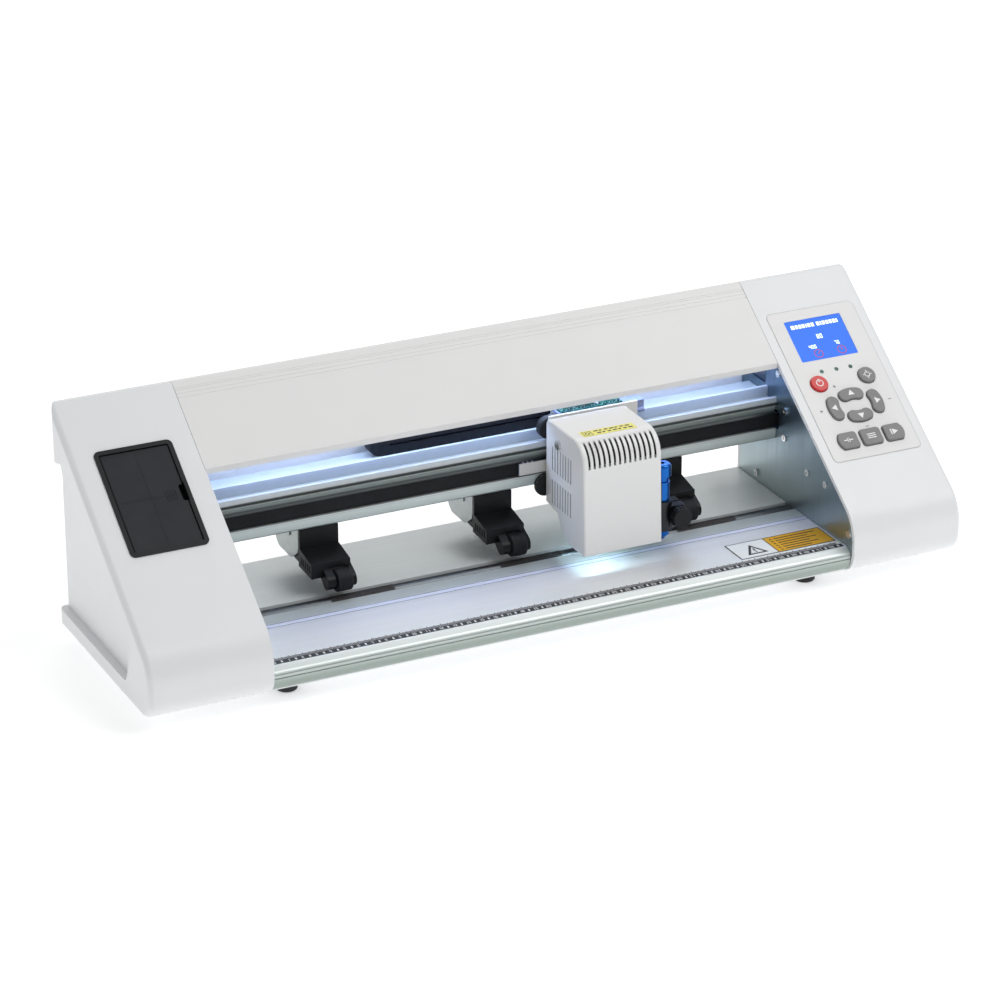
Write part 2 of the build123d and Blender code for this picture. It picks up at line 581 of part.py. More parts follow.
def carriage_board():
    """Board on the shelf behind the rollers, and the lamp that hangs inside the cover."""
    low, top = SHELF_Z + 0.02, SHELF_Z + 1.6
    board = block((52.0, 99.0), (34.6, 50.5), (low, top))
    above = top + 0.02
    chips = [block((56.0, 66.0), (38.0, 46.0), (above, above + 1.8)),
             block((70.0, 78.0), (38.0, 48.0), (above, above + 3.6)),
             block((82.0, 95.0), (40.0, 44.0), (above, above + 2.6))]
    lamp = block((40.0, 58.0), (-30.0, -22.0), (58.0, 60.0))
    arm = block((37.0, 39.5), (-22.5, CARRIAGE_Y[0] - 0.02), (66.5, 68.5))
    drop = block((37.0, 41.0), (-24.5, -22.0), (58.0, 68.5))
    return group(board, lamp + drop + arm, *chips)


def tool_slide():
    """Block on the guide rods, reaching out to the split collar round the blade holder."""
    inner = block((62.0, 86.5), (-11.0, -1.0), (72.0, 86.0))
    for x in (66.0, 82.0):
        inner -= rod_z(x, -6.0, (60, 100), 2.05)
    reach = block((84.0, 96.0), (-26.0, -10.0), (72.0, 80.0))
    reach += block((84.0, 86.5), (-11.0, -9.0), (72.0, 80.0))
    web = block((94.0, 98.0), (-28.0, -12.0), (44.0, 80.0))
    collar = rod_z(TOOL_X, TOOL_Y, (44.0, 66.0), 7.6)
    ears = block((104.0, 115.5), (-29.2, -13.5), (47.3, 62.3))
    body = inner + reach + web + collar + ears
    body -= rod_z(TOOL_X, TOOL_Y, (40.0, 90.0), TOOL_R + 0.02)
    body -= block((TOOL_X + 2, 118.0), (TOOL_Y - 0.8, TOOL_Y + 0.8), (40.0, 70.0))
    return body - rod_y(KNOB_X, (-30.0, -13.0), KNOB_Z, 1.6)


def clamp_knob():
    y = (-36.6, -29.6)
    knob = rod_y(KNOB_X, y, KNOB_Z, KNOB_R)
    knob = chamfer(knob.edges().filter_by(GeomType.CIRCLE), 0.7)
    for i in range(18):
        a = radians(i * 20)
        knob -= rod_y(KNOB_X + KNOB_R * cos(a), y, KNOB_Z + KNOB_R * sin(a), 0.6)
    return knob + rod_y(KNOB_X, (-30.0, -14.5), KNOB_Z, 1.5)


def blade_holder():
    """Anodised holder with its screwed cap, waist and nose, and the blade in its tip."""
    body = rod_z(TOOL_X, TOOL_Y, (40.0, 80.0), TOOL_R) + rod_z(TOOL_X, TOOL_Y, (79.9, 84.1), 4.6)
    cap = rod_z(TOOL_X, TOOL_Y, (84.0, 93.0), 6.5)
    cap = fillet(cap.edges().group_by(Axis.Z)[-1], 2.0)
    nose = Pos(TOOL_X, TOOL_Y, 38.25) * Cone(2.6, TOOL_R - 0.2, 3.5)
    holder = body + cap + nose - rod_z(TOOL_X, TOOL_Y, (90.0, 94.0), 2.0)
    holder -= rod_z(TOOL_X, TOOL_Y, (30.0, 40.0), 1.0)
    blade = rod_z(TOOL_X, TOOL_Y, (36.4, 39.98), 0.98)
    tip = Pos(TOOL_X, TOOL_Y, 35.7) * Cone(0.1, 0.98, 1.4)
    return group(holder, blade + tip)


# ---------------------------------------------------------------- tray
def tray_well():
    """Black tray with its bezel, sunk in the slope of the left housing."""
    wall = 1.4
    outer_x, outer_d = (TRAY_X[0] + wall, TRAY_X[1] - wall), (TRAY_D[0] + wall, TRAY_D[1] - wall)
    well = panel_block(outer_x, outer_d, (-17.0, 0.1), 2.6)
    well += panel_block(TRAY_X, TRAY_D, (0.05, 0.9), 4.0)
    inner_x, inner_d = (LID_X[0] - 0.5, LID_X[1] + 0.5), (LID_D[0] - 0.5, LID_D[1] + 0.5)
    well -= panel_block(inner_x, inner_d, (-2.6, 2.0), 1.0)
    ledge = 1.2
    pocket_x, pocket_d = (inner_x[0] + 2.2, inner_x[1] - ledge), (inner_d[0] + ledge, inner_d[1] - ledge)
    well -= panel_block(pocket_x, pocket_d, (-15.5, 2.0), 1.5)
    well -= lid_pins(0.05)
    well -= panel_block((inner_x[1] - 3, inner_x[1] + 0.6), (78.0, 92.5), (-6.0, 2.0))
    return well


def lid_pins(grow):
    length = LID_D[1] - LID_D[0] + 3.0
    middle = (LID_D[0] + LID_D[1]) / 2
    pin = Rot(90, 0, 0) * Cylinder(0.7 + grow, length + grow)
    return PANEL * Pos(LID_AXIS_X, -middle, LID_AXIS_H) * pin


def tray_lid():
    """Flat lid, half-round along its hinge edge, with a finger notch in the free edge."""
    thick = (LID_AXIS_H - 1.0, LID_AXIS_H + 1.0)
    lid = panel_block((LID_AXIS_X, LID_X[1]), LID_D, thick)
    edge = Rot(90, 0, 0) * Cylinder(1.0, LID_D[1] - LID_D[0])
    lid += PANEL * Pos(LID_AXIS_X, -(LID_D[0] + LID_D[1]) / 2, LID_AXIS_H) * edge
    lid -= on_panel(LID_X[1] + 1.5, 85.3, (-4.0, 2.0), RectangleRounded(9.0, 13.0, 2.0))
    return lid + lid_pins(0.0)


# ---------------------------------------------------------------- control panel
def control_overlay():
    sheet = panel_block(OVERLAY_X, OVERLAY_D, (-0.55, 0.25), 4.0)
    sheet -= panel_block(SCREEN_X, SCREEN_D, (-1.0, 1.0), 1.0)
    for name, (x, d) in KEYS.items():
        sheet -= on_panel(x, d, (-1.0, 1.0), key_flat(name, 0.4))
    for x in LAMPS:
        sheet -= on_panel(x, LAMP_D, (-1.0, 1.0), Circle(1.6))
    return sheet


def lcd_module():
    """Display glass standing in the window, on its frame and board."""
    glass = panel_block((SCREEN_X[0] + 0.15, SCREEN_X[1] - 0.15),
                        (SCREEN_D[0] + 0.15, SCREEN_D[1] - 0.15), (-4.0, 0.05), 0.9)
    frame = panel_block((230.0, 290.0), (34.0, 79.0), (-7.0, -4.0))
    return glass + frame


def keypad_board():
    board = panel_block((228.0, 294.0), (81.5, 153.0), (BOARD_H - 1.6, BOARD_H))
    pads = [on_panel(x, d, (BOARD_H + 0.02, -6.3), Circle(3.0)) for x, d in KEYS.values()]
    lamps = [on_panel(x, LAMP_D, (BOARD_H + 0.02, 0.4), Circle(1.4)) for x in LAMPS]
    return group(board, *pads, *lamps)


def key_cap(name):
    x, d = KEYS[name]
    cap = on_panel(x, d, (KEY_FLOOR, KEY_TOP), key_flat(name))
    top = [e for e in cap.edges() if (PANEL.to_local_coords(e.center())).Z > KEY_TOP - 0.01]
    cap = chamfer(top, 0.5)
    return cap + on_panel(x, d, (KEY_FLOOR, -3.35), key_flat(name, 0.9))


def main_board():
    """Main board on the floor of the right housing, with chips and the rear sockets."""
    board = block((226.0, 276.0), (-30.0, 60.0), (16.0, 17.6))
    chips = [block((232.0, 246.0), (-20.0, -6.0), (17.62, 22.0)),
             block((252.0, 270.0), (-22.0, -2.0), (17.62, 20.0)),
             rod_z(262.0, 14.0, (17.62, 30.0), 5.0)]
    post = block((236.0, 268.0), (60.02, 62.0), (16.0, 40.0))
    jack, usb = socket_shapes()
    jack -= rod_y(242.0, (66.0, 81.0), 34.0, 3.2)
    jack += rod_y(242.0, (62.0, 78.0), 34.0, 1.0)
    usb -= block((256.0, 264.0), (66.0, 80.0), (31.0, 38.0))
    return group(board, post + jack + usb, *chips)


def switch_body():
    frame = block((279.0, 292.0), (66.0, 80.2), (29.4, 49.1))
    frame -= block((280.4, 290.6), (69.0, 81.0), (30.5, 47.5))
    return frame - rocker_pin(0.05)


def rocker_pin(grow=0.0):
    x = (ROCKER_X[0] - 1.0 - grow, ROCKER_X[1] + 1.0 + grow)
    return rod_x(x, ROCKER_Y, ROCKER_Z, 1.5 + grow)


def power_rocker():
    """Rocker key, tipped with its upper end in."""
    key = outline([(72.0, 33.0), (79.0, 31.6), (82.2, 32.0), (79.2, 39.2), (80.0, 46.8), (72.0, 45.5)])
    return along_x(key, ROCKER_X) + rocker_pin()


# ---------------------------------------------------------------- write the parts
def ruler_strip():
    return block((-END_X, END_X), (RULER_Y[0] + 0.05, RULER_Y[1] - 0.05), (BED_Z - 0.58, BED_Z + 0.1))


def cutting_strip():
    return block((-END_X, END_X), (CUT_Y[0] + 0.1, CUT_Y[1] - 0.1), (BED_Z - 0.98, BED_Z))


def build():
    parts = {
        "left_housing": left_housing(), "right_housing": right_housing(), "top_cover": top_cover(),
        "left_side_plate": side_plate(-1), "right_side_plate": side_plate(1),
        "front_platen": front_platen(), "rear_platen": rear_platen(),
        "ruler_strip": ruler_strip(), "cutting_strip": cutting_strip(),
        "grit_shaft": rod_x((-HALF - 20, HALF + 5), SHAFT_Y, SHAFT_Z, SHAFT_R),
        "grit_sleeves": group(*[grit_sleeve(x) for x in (-140.0, -13.0, 125.0)]),
        "shaft_pulley": flanged_pulley_x(SHAFT_Y, SHAFT_Z, FEED_BIG_R, SHAFT_R),
        "stepper_motors": group(feed_motor(), carriage_motor()), "feed_belt": feed_belt(),
        "feed_motor_pulley": flanged_pulley_x(FEED_MOTOR_Y, FEED_MOTOR_Z, FEED_SMALL_R, 2.55),
        "drive_belt": drive_belt(),
        "motor_pulley": belt_pulley(MOTOR_X, 2.55), "idler_pulley": belt_pulley(IDLER_X, 2.55),
        "belt_brackets": belt_brackets(), "beam": beam(), "cable_chain": cable_chain(),
        "light_strip": light_strip(), "cam_shaft": cam_shaft(), "lift_lever": lift_lever(),
        "head_cover": head_cover(), "head_screws": head_screws(), "carriage_plate": carriage_plate(),
        "left_roller": roller(ROLLER_X[0]), "right_roller": roller(ROLLER_X[1]),
        "lift_solenoid": solenoid(), "carriage_board": carriage_board(), "tool_slide": tool_slide(),
        "clamp_knob": clamp_knob(), "blade_holder": blade_holder(), "tray_well": tray_well(),
        "tray_lid": tray_lid(), "control_overlay": control_overlay(), "lcd_module": lcd_module(),
        "keypad_board": keypad_board(), "main_board": main_board(), "switch_body": switch_body(),
        "power_rocker": power_rocker(),
        "rubber_feet": group(*[foot(x, y) for x in (-197.0, 197.0) for y in (-56.7, 62.0)]),
    }
    screws = [plate_screw(y, z) for y, z in PLATE_SCREWS]
    parts["plate_screws"] = group(*screws, *[mirrored(s) for s in screws])
    parts["pinch_brackets"] = group(*[piece for x0 in ARM_X for piece in pinch_bracket(x0)])
    for number, x0 in enumerate(ARM_X, 1):
        parts[f"pinch_arm_{number}"] = pinch_arm(x0)
        parts[f"pinch_wheel_{number}"] = pinch_wheel(x0)
    for name in KEYS:
        parts[name] = key_cap(name)
    return parts


os.makedirs("parts", exist_ok=True)
for part_name, part_shape in build().items():
    save(part_name, part_shape)
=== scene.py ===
import math
import random

import bmesh
import bpy
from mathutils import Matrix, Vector


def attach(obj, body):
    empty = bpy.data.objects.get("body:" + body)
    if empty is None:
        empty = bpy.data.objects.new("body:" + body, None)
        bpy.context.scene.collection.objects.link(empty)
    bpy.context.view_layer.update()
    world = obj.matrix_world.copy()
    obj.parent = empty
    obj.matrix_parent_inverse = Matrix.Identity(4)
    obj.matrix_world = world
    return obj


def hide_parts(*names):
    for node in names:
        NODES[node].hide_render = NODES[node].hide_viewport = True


# Looks of the desktop vinyl cutter. Shapes are given in millimetres and stored in metres; places in
# materials and for camera and lamps are in metres.
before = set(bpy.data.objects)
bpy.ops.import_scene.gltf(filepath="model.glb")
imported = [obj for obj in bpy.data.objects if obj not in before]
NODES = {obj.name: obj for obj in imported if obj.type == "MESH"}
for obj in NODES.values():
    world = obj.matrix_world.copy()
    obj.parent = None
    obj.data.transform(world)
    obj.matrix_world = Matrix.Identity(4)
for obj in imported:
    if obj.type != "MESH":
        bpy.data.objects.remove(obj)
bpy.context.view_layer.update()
MM = 0.001
MIX_A, MIX_B, MIX_RESULT = 6, 7, 2   # the colour sockets of a Mix node

# ---- the machine's own dimensions, as in the CAD source, in millimetres ----
SLOPE = math.radians(35.6)
COS, SIN = math.cos(SLOPE), math.sin(SLOPE)
PANEL_Y, PANEL_Z = 82.8, 49.2 + 170.8 * math.tan(SLOPE)
BED_Z = 29.5
HALF = 217.7                        # half the length of bed, beam and cover
ARM_X = (-150.8, -19.8, 114.2)
ARM_W = 28.8
WHEEL_Y, WHEEL_Z, WHEEL_R = 3.3, 40.8, 8.0
KEY_TOP = 2.2                       # above the sloping panel
HEAD_TOP = 122.6
BOARD_TOP = 118.72                  # circuit board behind the head
PRINT = 0.03                        # thickness of printed marks
FILM_TOP = 0.25                     # control overlay, above the sloping panel
SCREEN_TOP = 0.06                   # display window, above the sloping panel
KEYS = {
    "reset": (240.8, 94.6), "origin": (279.6, 94.6),
    "up": (260.5, 107.0), "down": (260.5, 126.2), "left": (243.2, 116.6), "right": (277.8, 116.6),
    "offline": (242.0, 143.9), "setup": (260.8, 143.9), "test": (279.4, 143.9),
}


# ---------------------------------------------------------------- placing
def flat(u, v, w):
    """The machine's own X, Y and Z."""
    return Vector((u, v, w)) * MM


def panel(u, v, w):
    """u across, v down the slope from its top line, w above the sloping face."""
    return Vector((u, PANEL_Y - v * COS - w * SIN, PANEL_Z - v * SIN + w * COS)) * MM


def along_x(u, v, w):
    """Outline in the YZ plane, pushed along X."""
    return Vector((w, u, v)) * MM


def along_y(u, v, w):
    """Outline in the XZ plane, pushed along Y."""
    return Vector((u, w, v)) * MM


class Shape:
    """A mesh put together from simple solids, then made into one piece."""

    def __init__(self, place=flat):
        self.bm = bmesh.new()
        self.place = place

    def loop(self, points, w):
        """One closed loop of corners at height w."""
        return [self.bm.verts.new(self.place(u, v, w)) for u, v in points]

    def skin(self, a, b):
        """Band of quads between two loops with the same number of corners."""
        n = len(a)
        for i in range(n):
            j = (i + 1) % n
            self.bm.faces.new((a[i], a[j], b[j], b[i]))

    def cap(self, first, last):
        self.bm.faces.new(first[::-1])
        self.bm.faces.new(last)

    def prism(self, points, low, high):
        """Outline (u, v) pushed from w = low to w = high."""
        a = self.loop(points, low)
        b = self.loop(points, high)
        self.cap(a, b)
        self.skin(a, b)

    def bar(self, u, v, w):
        """Box from three (low, high) pairs."""
        self.prism([(u[0], v[0]), (u[1], v[0]), (u[1], v[1]), (u[0], v[1])], w[0], w[1])

    def ring(self, outer, inner, low, high):
        """Closed band between two outlines with the same number of points."""
        loops = []
        for points, w in ((outer, low), (outer, high), (inner, high), (inner, low)):
            loops.append(self.loop(points, w))
        for a, b in zip(loops, loops[1:] + loops[:1]):
            self.skin(a, b)

    def turned(self, profile, centre, steps=32):
        """Solid turned from (radius, w) pairs round (u, v); a hollow ring where the two ends meet."""
        closed = profile[0] == profile[-1]
        loops = []
        for radius, w in profile[:-1] if closed else profile:
            points = []
            for i in range(steps):
                a = math.tau * i / steps
                points.append((centre[0] + radius * math.cos(a), centre[1] + radius * math.sin(a)))
            loops.append(self.loop(points, w))
        if closed:
            loops.append(loops[0])
        else:
            self.cap(loops[0], loops[-1])
        for a, b in zip(loops, loops[1:]):
            self.skin(a, b)

    def tube(self, path, radius, steps=10):
        """Round rod along a list of points in place coordinates."""
        points = [self.place(*p) for p in path]
        loops = []
        side = Vector((0, 0, 1))
        for i, p in enumerate(points):
            ahead = points[min(i + 1, len(points) - 1)] - points[max(i - 1, 0)]
            ahead.normalize()
            if abs(ahead.dot(side)) > 0.95:
                side = Vector((1, 0, 0))
            u = ahead.cross(side).normalized()
            side = u.cross(ahead).normalized()
            ring = []
            for k in range(steps):
                a = math.tau * k / steps
                ring.append(self.bm.verts.new(p + (u * math.cos(a) + side * math.sin(a)) * radius * MM))
            loops.append(ring)
        self.cap(loops[0], loops[-1])
        for a, b in zip(loops, loops[1:]):
            self.skin(a, b)

    def piece(self, name, material, body, slot, replaces=(), angle=35.0):
        """Makes the mesh an object that rides on a body; edges above the angle stay sharp."""
        bmesh.ops.recalc_face_normals(self.bm, faces=self.bm.faces)
        mesh = bpy.data.meshes.new(name)
        self.bm.to_mesh(mesh)
        self.bm.free()
        mesh.shade_smooth()
        mesh.set_sharp_from_angle(angle=math.radians(angle))
        mesh.materials.append(material)
        obj = bpy.data.objects.new(name, mesh)
        bpy.context.scene.collection.objects.link(obj)
        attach(obj, body)
        if replaces:
            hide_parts(*replaces)


def cut_corners(u, v, edge):
    """Rectangle with its corners cut at 45 degrees, as points."""
    return [(u[0] + edge, v[0]), (u[1] - edge, v[0]), (u[1], v[0] + edge), (u[1], v[1] - edge),
            (u[1] - edge, v[1]), (u[0] + edge, v[1]), (u[0], v[1] - edge), (u[0], v[0] + edge)]


def washer(outer, inner, low, high):
    """Profile of a flat ring, for turning."""
    return [(outer, low), (outer, high), (inner, high), (inner, low), (outer, low)]


def rounded(u, v, radius, steps=6):
    """Rectangle with round corners, as points."""
    points = []
    for cu, cv, start in ((u[1] - radius, v[1] - radius, 0), (u[0] + radius, v[1] - radius, 90),
                          (u[0] + radius, v[0] + radius, 180), (u[1] - radius, v[0] + radius, 270)):
        for i in range(steps + 1):
            a = math.radians(start + 90.0 * i / steps)
            points.append((cu + radius * math.cos(a), cv + radius * math.sin(a)))
    return points


# ---------------------------------------------------------------- materials
class Paint:
    """Builds one procedural material on the object's own coordinates, in metres."""

    def __init__(self, name, rough=0.4, metal=0.0, **sockets):
        self.mat = bpy.data.materials.new(name)
        self.mat.use_nodes = True
        self.tree = self.mat.node_tree
        self.shader = self.tree.nodes["Principled BSDF"]
        self.shader.inputs["Roughness"].default_value = rough
        self.shader.inputs["Metallic"].default_value = metal
        self.shader.inputs["Emission Color"].default_value = (1.0, 1.0, 1.0, 1.0)
        for key, value in sockets.items():
            self.shader.inputs[key.replace("_", " ")].default_value = value
        self.rough = rough
        self.normal = None

    def node(self, kind, **values):
        made = self.tree.nodes.new(kind)
        for key, value in values.items():
            setattr(made, key, value)
        return made

    def link(self, a, b):
        self.tree.links.new(a, b)

    def coords(self, stretch):
        source = self.node("ShaderNodeTexCoord")
        mapping = self.node("ShaderNodeMapping")
        mapping.inputs["Scale"].default_value = stretch
        self.link(source.outputs["Object"], mapping.inputs["Vector"])
        return mapping.outputs["Vector"]

    def noise(self, scale, detail, stretch=(1, 1, 1)):
        made = self.node("ShaderNodeTexNoise")
        made.inputs["Scale"].default_value = scale
        made.inputs["Detail"].default_value = detail
        self.link(self.coords(stretch), made.inputs["Vector"])
        return made.outputs["Fac"]

    def ramp(self, value, stops):
        made = self.node("ShaderNodeValToRGB")
        ramp = made.color_ramp
        while len(ramp.elements) < len(stops):
            ramp.elements.new(0.5)
        for element, (at, colour) in zip(ramp.elements, stops):
            element.position = at
            element.color = (*colour, 1.0)
        self.link(value, made.inputs["Fac"])
        return made.outputs["Color"]

    def along(self, axis, low, high):
        """0 to 1 as the object's own X, Y or Z goes from low to high."""
        split = self.node("ShaderNodeSeparateXYZ")
        self.link(self.coords((1, 1, 1)), split.inputs["Vector"])
        made = self.node("ShaderNodeMapRange")
        made.inputs["From Min"].default_value = low
        made.inputs["From Max"].default_value = high
        self.link(split.outputs[axis], made.inputs["Value"])
        return made.outputs["Result"]

    def mixed(self, first, second, share):
        """First colour where share is 0, second where it is 1; either may be fixed."""
        made = self.node("ShaderNodeMix", data_type="RGBA")
        self.link(share, made.inputs["Factor"])
        for source, socket in ((first, made.inputs[MIX_A]), (second, made.inputs[MIX_B])):
            if isinstance(source, tuple):
                socket.default_value = (*source, 1.0)
            else:
                self.link(source, socket)
        return made.outputs[MIX_RESULT]

    def tinted(self, colour, value, depth):
        """Colour darkened by up to depth where value is low."""
        shade = self.ramp(value, [(0.3, (1 - depth,) * 3), (0.7, (1.0, 1.0, 1.0))])
        made = self.node("ShaderNodeMix", data_type="RGBA", blend_type="MULTIPLY")
        made.inputs["Factor"].default_value = 1.0
        self.link(colour, made.inputs[MIX_A])
        self.link(shade, made.inputs[MIX_B])
        return made.outputs[MIX_RESULT]

    def use_colour(self, source):
        self.link(source, self.shader.inputs["Base Color"])

    def colour(self, base, spread, scale=18.0, stretch=(1, 1, 1)):
        """Slight drift of the colour over the surface."""
        dark = [c * (1 - spread) for c in base]
        light = [min(1.0, c * (1 + spread * 0.6)) for c in base]
        value = self.noise(scale, 4.0, stretch)
        self.use_colour(self.ramp(value, [(0.3, dark), (0.7, light)]))
        return self

    def roughness(self, span, scale, stretch=(1, 1, 1)):
        """Slight drift of the roughness, by span up and down."""
        value = self.noise(scale, 4.0, stretch)
        made = self.node("ShaderNodeMapRange")
        made.inputs["From Min"].default_value = 0.3
        made.inputs["From Max"].default_value = 0.7
        made.inputs["To Min"].default_value = max(0.02, self.rough - span)
        made.inputs["To Max"].default_value = min(1.0, self.rough + span)
        self.link(value, made.inputs["Value"])
        self.link(made.outputs["Result"], self.shader.inputs["Roughness"])
        return self

    def bump(self, height, depth, strength=1.0):
        """Adds a height field to the ones already there; depth in metres."""
        made = self.node("ShaderNodeBump")
        made.inputs["Distance"].default_value = depth
        made.inputs["Strength"].default_value = strength
        self.link(height, made.inputs["Height"])
        if self.normal is not None:
            self.link(self.normal, made.inputs["Normal"])
        self.normal = made.outputs["Normal"]
        self.link(self.normal, self.shader.inputs["Normal"])
        return self

    def grain(self, scale, depth, stretch=(1, 1, 1), detail=2.0, strength=1.0):
        """Fine noise as bump; depth in metres."""
        return self.bump(self.noise(scale, detail, stretch), depth, strength)


# Each of the next functions returns a finished material.
def plastic(name, base, rough, grain=1400.0, depth=0.00002, spread=0.02, **sockets):
    paint = Paint(name, rough, 0.0, **sockets)
    paint.colour(base, spread).roughness(0.05, 60.0).grain(grain, depth)
    return paint.mat


def metal(name, base, rough, stretch=(1, 1, 1), scale=400.0, depth=0.000005):
    paint = Paint(name, rough, 1.0)
    paint.colour(base, 0.06, scale * 0.3, stretch).roughness(0.08, scale, stretch)
    paint.grain(scale * 2, depth, stretch, 3.0, 0.6)
    return paint.mat


def rail_material():
    """Rear platen: anodised aluminium with the fine die lines that run along X."""
    paint = Paint("rail_aluminium", 0.34, 0.25)
    paint.colour((0.90, 0.94, 0.94), 0.025, 260.0, (0.004, 1, 1)).roughness(0.025, 420.0, (0.006, 1, 1))
    paint.grain(900.0, 0.000006, (0.004, 1, 1), 3.0, 0.08)
    paint.grain(5000.0, 0.000002, (1, 1, 1), 1.0, 0.5)
    return paint.mat


def drawn_finish(paint, colour):
    """Faint streaks along X over the colour of a smooth drawn profile."""
    streaks = paint.noise(260.0, 3.0, (0.002, 1, 1))
    paint.use_colour(paint.tinted(colour, streaks, 0.03))
    paint.roughness(0.02, 420.0, (0.004, 1, 1)).grain(900.0, 0.000003, (0.002, 1, 1), 3.0, 0.08)
    return paint.mat


def bed_material():
    """Front platen: grey-green by the slot, pale lavender in front as a painted reflection of the lamp
    light, and a rail with painted shade that darkens downwards.
    """
    paint = Paint("bed_aluminium", 0.34, 0.30)
    across = paint.along("Y", -0.088, -0.005)
    # Painted reflection: the bright pale lavender across the front of the platen stands in for the lamps'
    # light on it.
    colour = paint.ramp(across, [
        (0.00, (0.80, 0.84, 0.83)), (0.13, (0.80, 0.84, 0.84)), (0.42, (0.90, 0.91, 0.93)),
        (0.70, (0.86, 0.88, 0.94)), (0.80, (0.76, 0.79, 0.84)), (0.86, (0.57, 0.62, 0.63)),
        (1.00, (0.54, 0.59, 0.60))])
    # Painted shade: the front rail is darker towards the bottom.
    rail = paint.ramp(paint.along("Z", 0.010, 0.0295), [
        (0.00, (0.20, 0.24, 0.22)), (0.45, (0.34, 0.40, 0.37)), (0.75, (0.56, 0.62, 0.60)),
        (1.00, (0.80, 0.84, 0.83))])
    colour = paint.mixed(rail, colour, paint.along("Y", -0.0795, -0.0775))
    return drawn_finish(paint, colour)


def beam_material():
    """Beam: pale flange; black belt channel, painted shade round the belt; a hollow band with painted shade
    that darkens downwards; a dark line; an upper lip with a painted highlight in the lamp strip's blue.
    """
    paint = Paint("beam_aluminium", 0.34, 0.30)
    height = paint.along("Z", 0.072, 0.108)
    # Painted shade: black from the belt channel up through the hollow band, lightening upwards; painted
    # highlight: the pale lavender upper lip, as lit by the lamp strip.
    front = paint.ramp(height, [
        (0.00, (0.46, 0.53, 0.52)), (0.185, (0.62, 0.69, 0.68)), (0.203, (0.46, 0.52, 0.52)),
        (0.222, (0.74, 0.80, 0.79)), (0.24, (0.010, 0.014, 0.016)), (0.55, (0.012, 0.017, 0.019)),
        (0.59, (0.10, 0.12, 0.12)), (0.64, (0.30, 0.35, 0.33)), (0.70, (0.52, 0.57, 0.55)),
        (0.72, (0.10, 0.12, 0.12)), (0.765, (0.14, 0.16, 0.16)), (0.79, (0.48, 0.52, 0.54)),
        (1.00, (0.62, 0.68, 0.78))])
    behind = paint.along("Y", 0.0385, 0.0395)
    colour = paint.mixed(front, (0.66, 0.73, 0.76), behind)
    return drawn_finish(paint, colour)


def plate_material():
    """Side plates: grey-green steel low down; darker blue-grey towards the cover is painted shade with the
    lamp strip's painted blue light.
    """
    paint = Paint("plate_paint", 0.36, 1.0)
    # Painted shade and painted lamp-strip light: darker and bluer towards the top, under the cover.
    colour = paint.ramp(paint.along("Z", 0.035, 0.125), [
        (0.00, (0.40, 0.47, 0.48)), (0.45, (0.26, 0.34, 0.40)), (1.00, (0.15, 0.22, 0.31))])
    brushed = paint.noise(90.0, 4.0, (1, 1, 0.02))
    paint.use_colour(paint.tinted(colour, brushed, 0.06))
    paint.roughness(0.08, 300.0, (1, 1, 0.02)).grain(600.0, 0.000005, (1, 1, 0.02), 3.0, 0.6)
    return paint.mat


def carriage_material():
    """Carriage plate: near white in front; the shelf and clamp behind it are dark lavender grey, painted
    shade with the lamp strip's painted blue light.
    """
    paint = Paint("carriage_paint", 0.40)
    behind = paint.along("Y", 0.0245, 0.0249)
    # Painted shade and painted lamp-strip light on the shelf and clamp behind; the front keeps the plate's
    # own near white.
    colour = paint.mixed((0.70, 0.69, 0.66), (0.20, 0.23, 0.36), behind)
    drift = paint.noise(18.0, 4.0)
    paint.use_colour(paint.tinted(colour, drift, 0.04))
    paint.roughness(0.05, 60.0).grain(1200.0, 0.00001)
    return paint.mat


def glow(name, colour, strength):
    """Surface that gives off light of its own colour."""
    paint = Paint(name, 0.5)
    paint.colour(colour, 0.04, 200.0)
    paint.shader.inputs["Emission Color"].default_value = (*colour, 1.0)
    paint.shader.inputs["Emission Strength"].default_value = strength
    return paint.mat


def knurled(name, base, rough):
    """Cross-cut knurl of the grit bands: hard dark grains that grip the sheet."""
    paint = Paint(name, rough, 0.4)
    paint.colour(base, 0.5, 1500.0).roughness(0.1, 900.0)
    cells = paint.node("ShaderNodeTexVoronoi")
    cells.inputs["Scale"].default_value = 1800.0
    paint.link(paint.coords((1, 1, 1)), cells.inputs["Vector"])
    paint.bump(cells.outputs["Distance"], 0.00025, 0.8)
    return paint.mat


def circuit(name):
    """Solder mask with traces and pads showing through it."""
    paint = Paint(name, 0.3)
    tiles = paint.node("ShaderNodeTexVoronoi", distance="CHEBYCHEV")
    tiles.inputs["Scale"].default_value = 420.0
    paint.link(paint.coords((1, 1, 1)), tiles.inputs["Vector"])
    colour = paint.ramp(tiles.outputs["Distance"], [
        (0.0, (0.45, 0.42, 0.25)), (0.08, (0.02, 0.10, 0.08)), (0.5, (0.012, 0.075, 0.06)),
        (0.62, (0.03, 0.16, 0.12))])
    paint.use_colour(colour)
    paint.roughness(0.1, 200.0).bump(tiles.outputs["Distance"], 0.00005, 0.4)
    return paint.mat


def screen_material():
    """Lit blue display: a fine dot grid over an even glow."""
    paint = Paint("screen_blue", 0.30, 0.0, Specular_IOR_Level=0.25, Coat_Weight=0.15,
                  Coat_Roughness=0.05)
    grid = paint.node("ShaderNodeTexVoronoi", distance="CHEBYCHEV")
    grid.inputs["Scale"].default_value = 2500.0
    grid.inputs["Randomness"].default_value = 0.0
    paint.link(paint.coords((1, 1, 1)), grid.inputs["Vector"])
    colour = paint.ramp(grid.outputs["Distance"], [(0.35, (0.003, 0.14, 0.78)), (0.5, (0.002, 0.10, 0.62))])
    paint.use_colour(colour)
    paint.link(colour, paint.shader.inputs["Emission Color"])
    paint.shader.inputs["Emission Strength"].default_value = 0.38
    return paint.mat


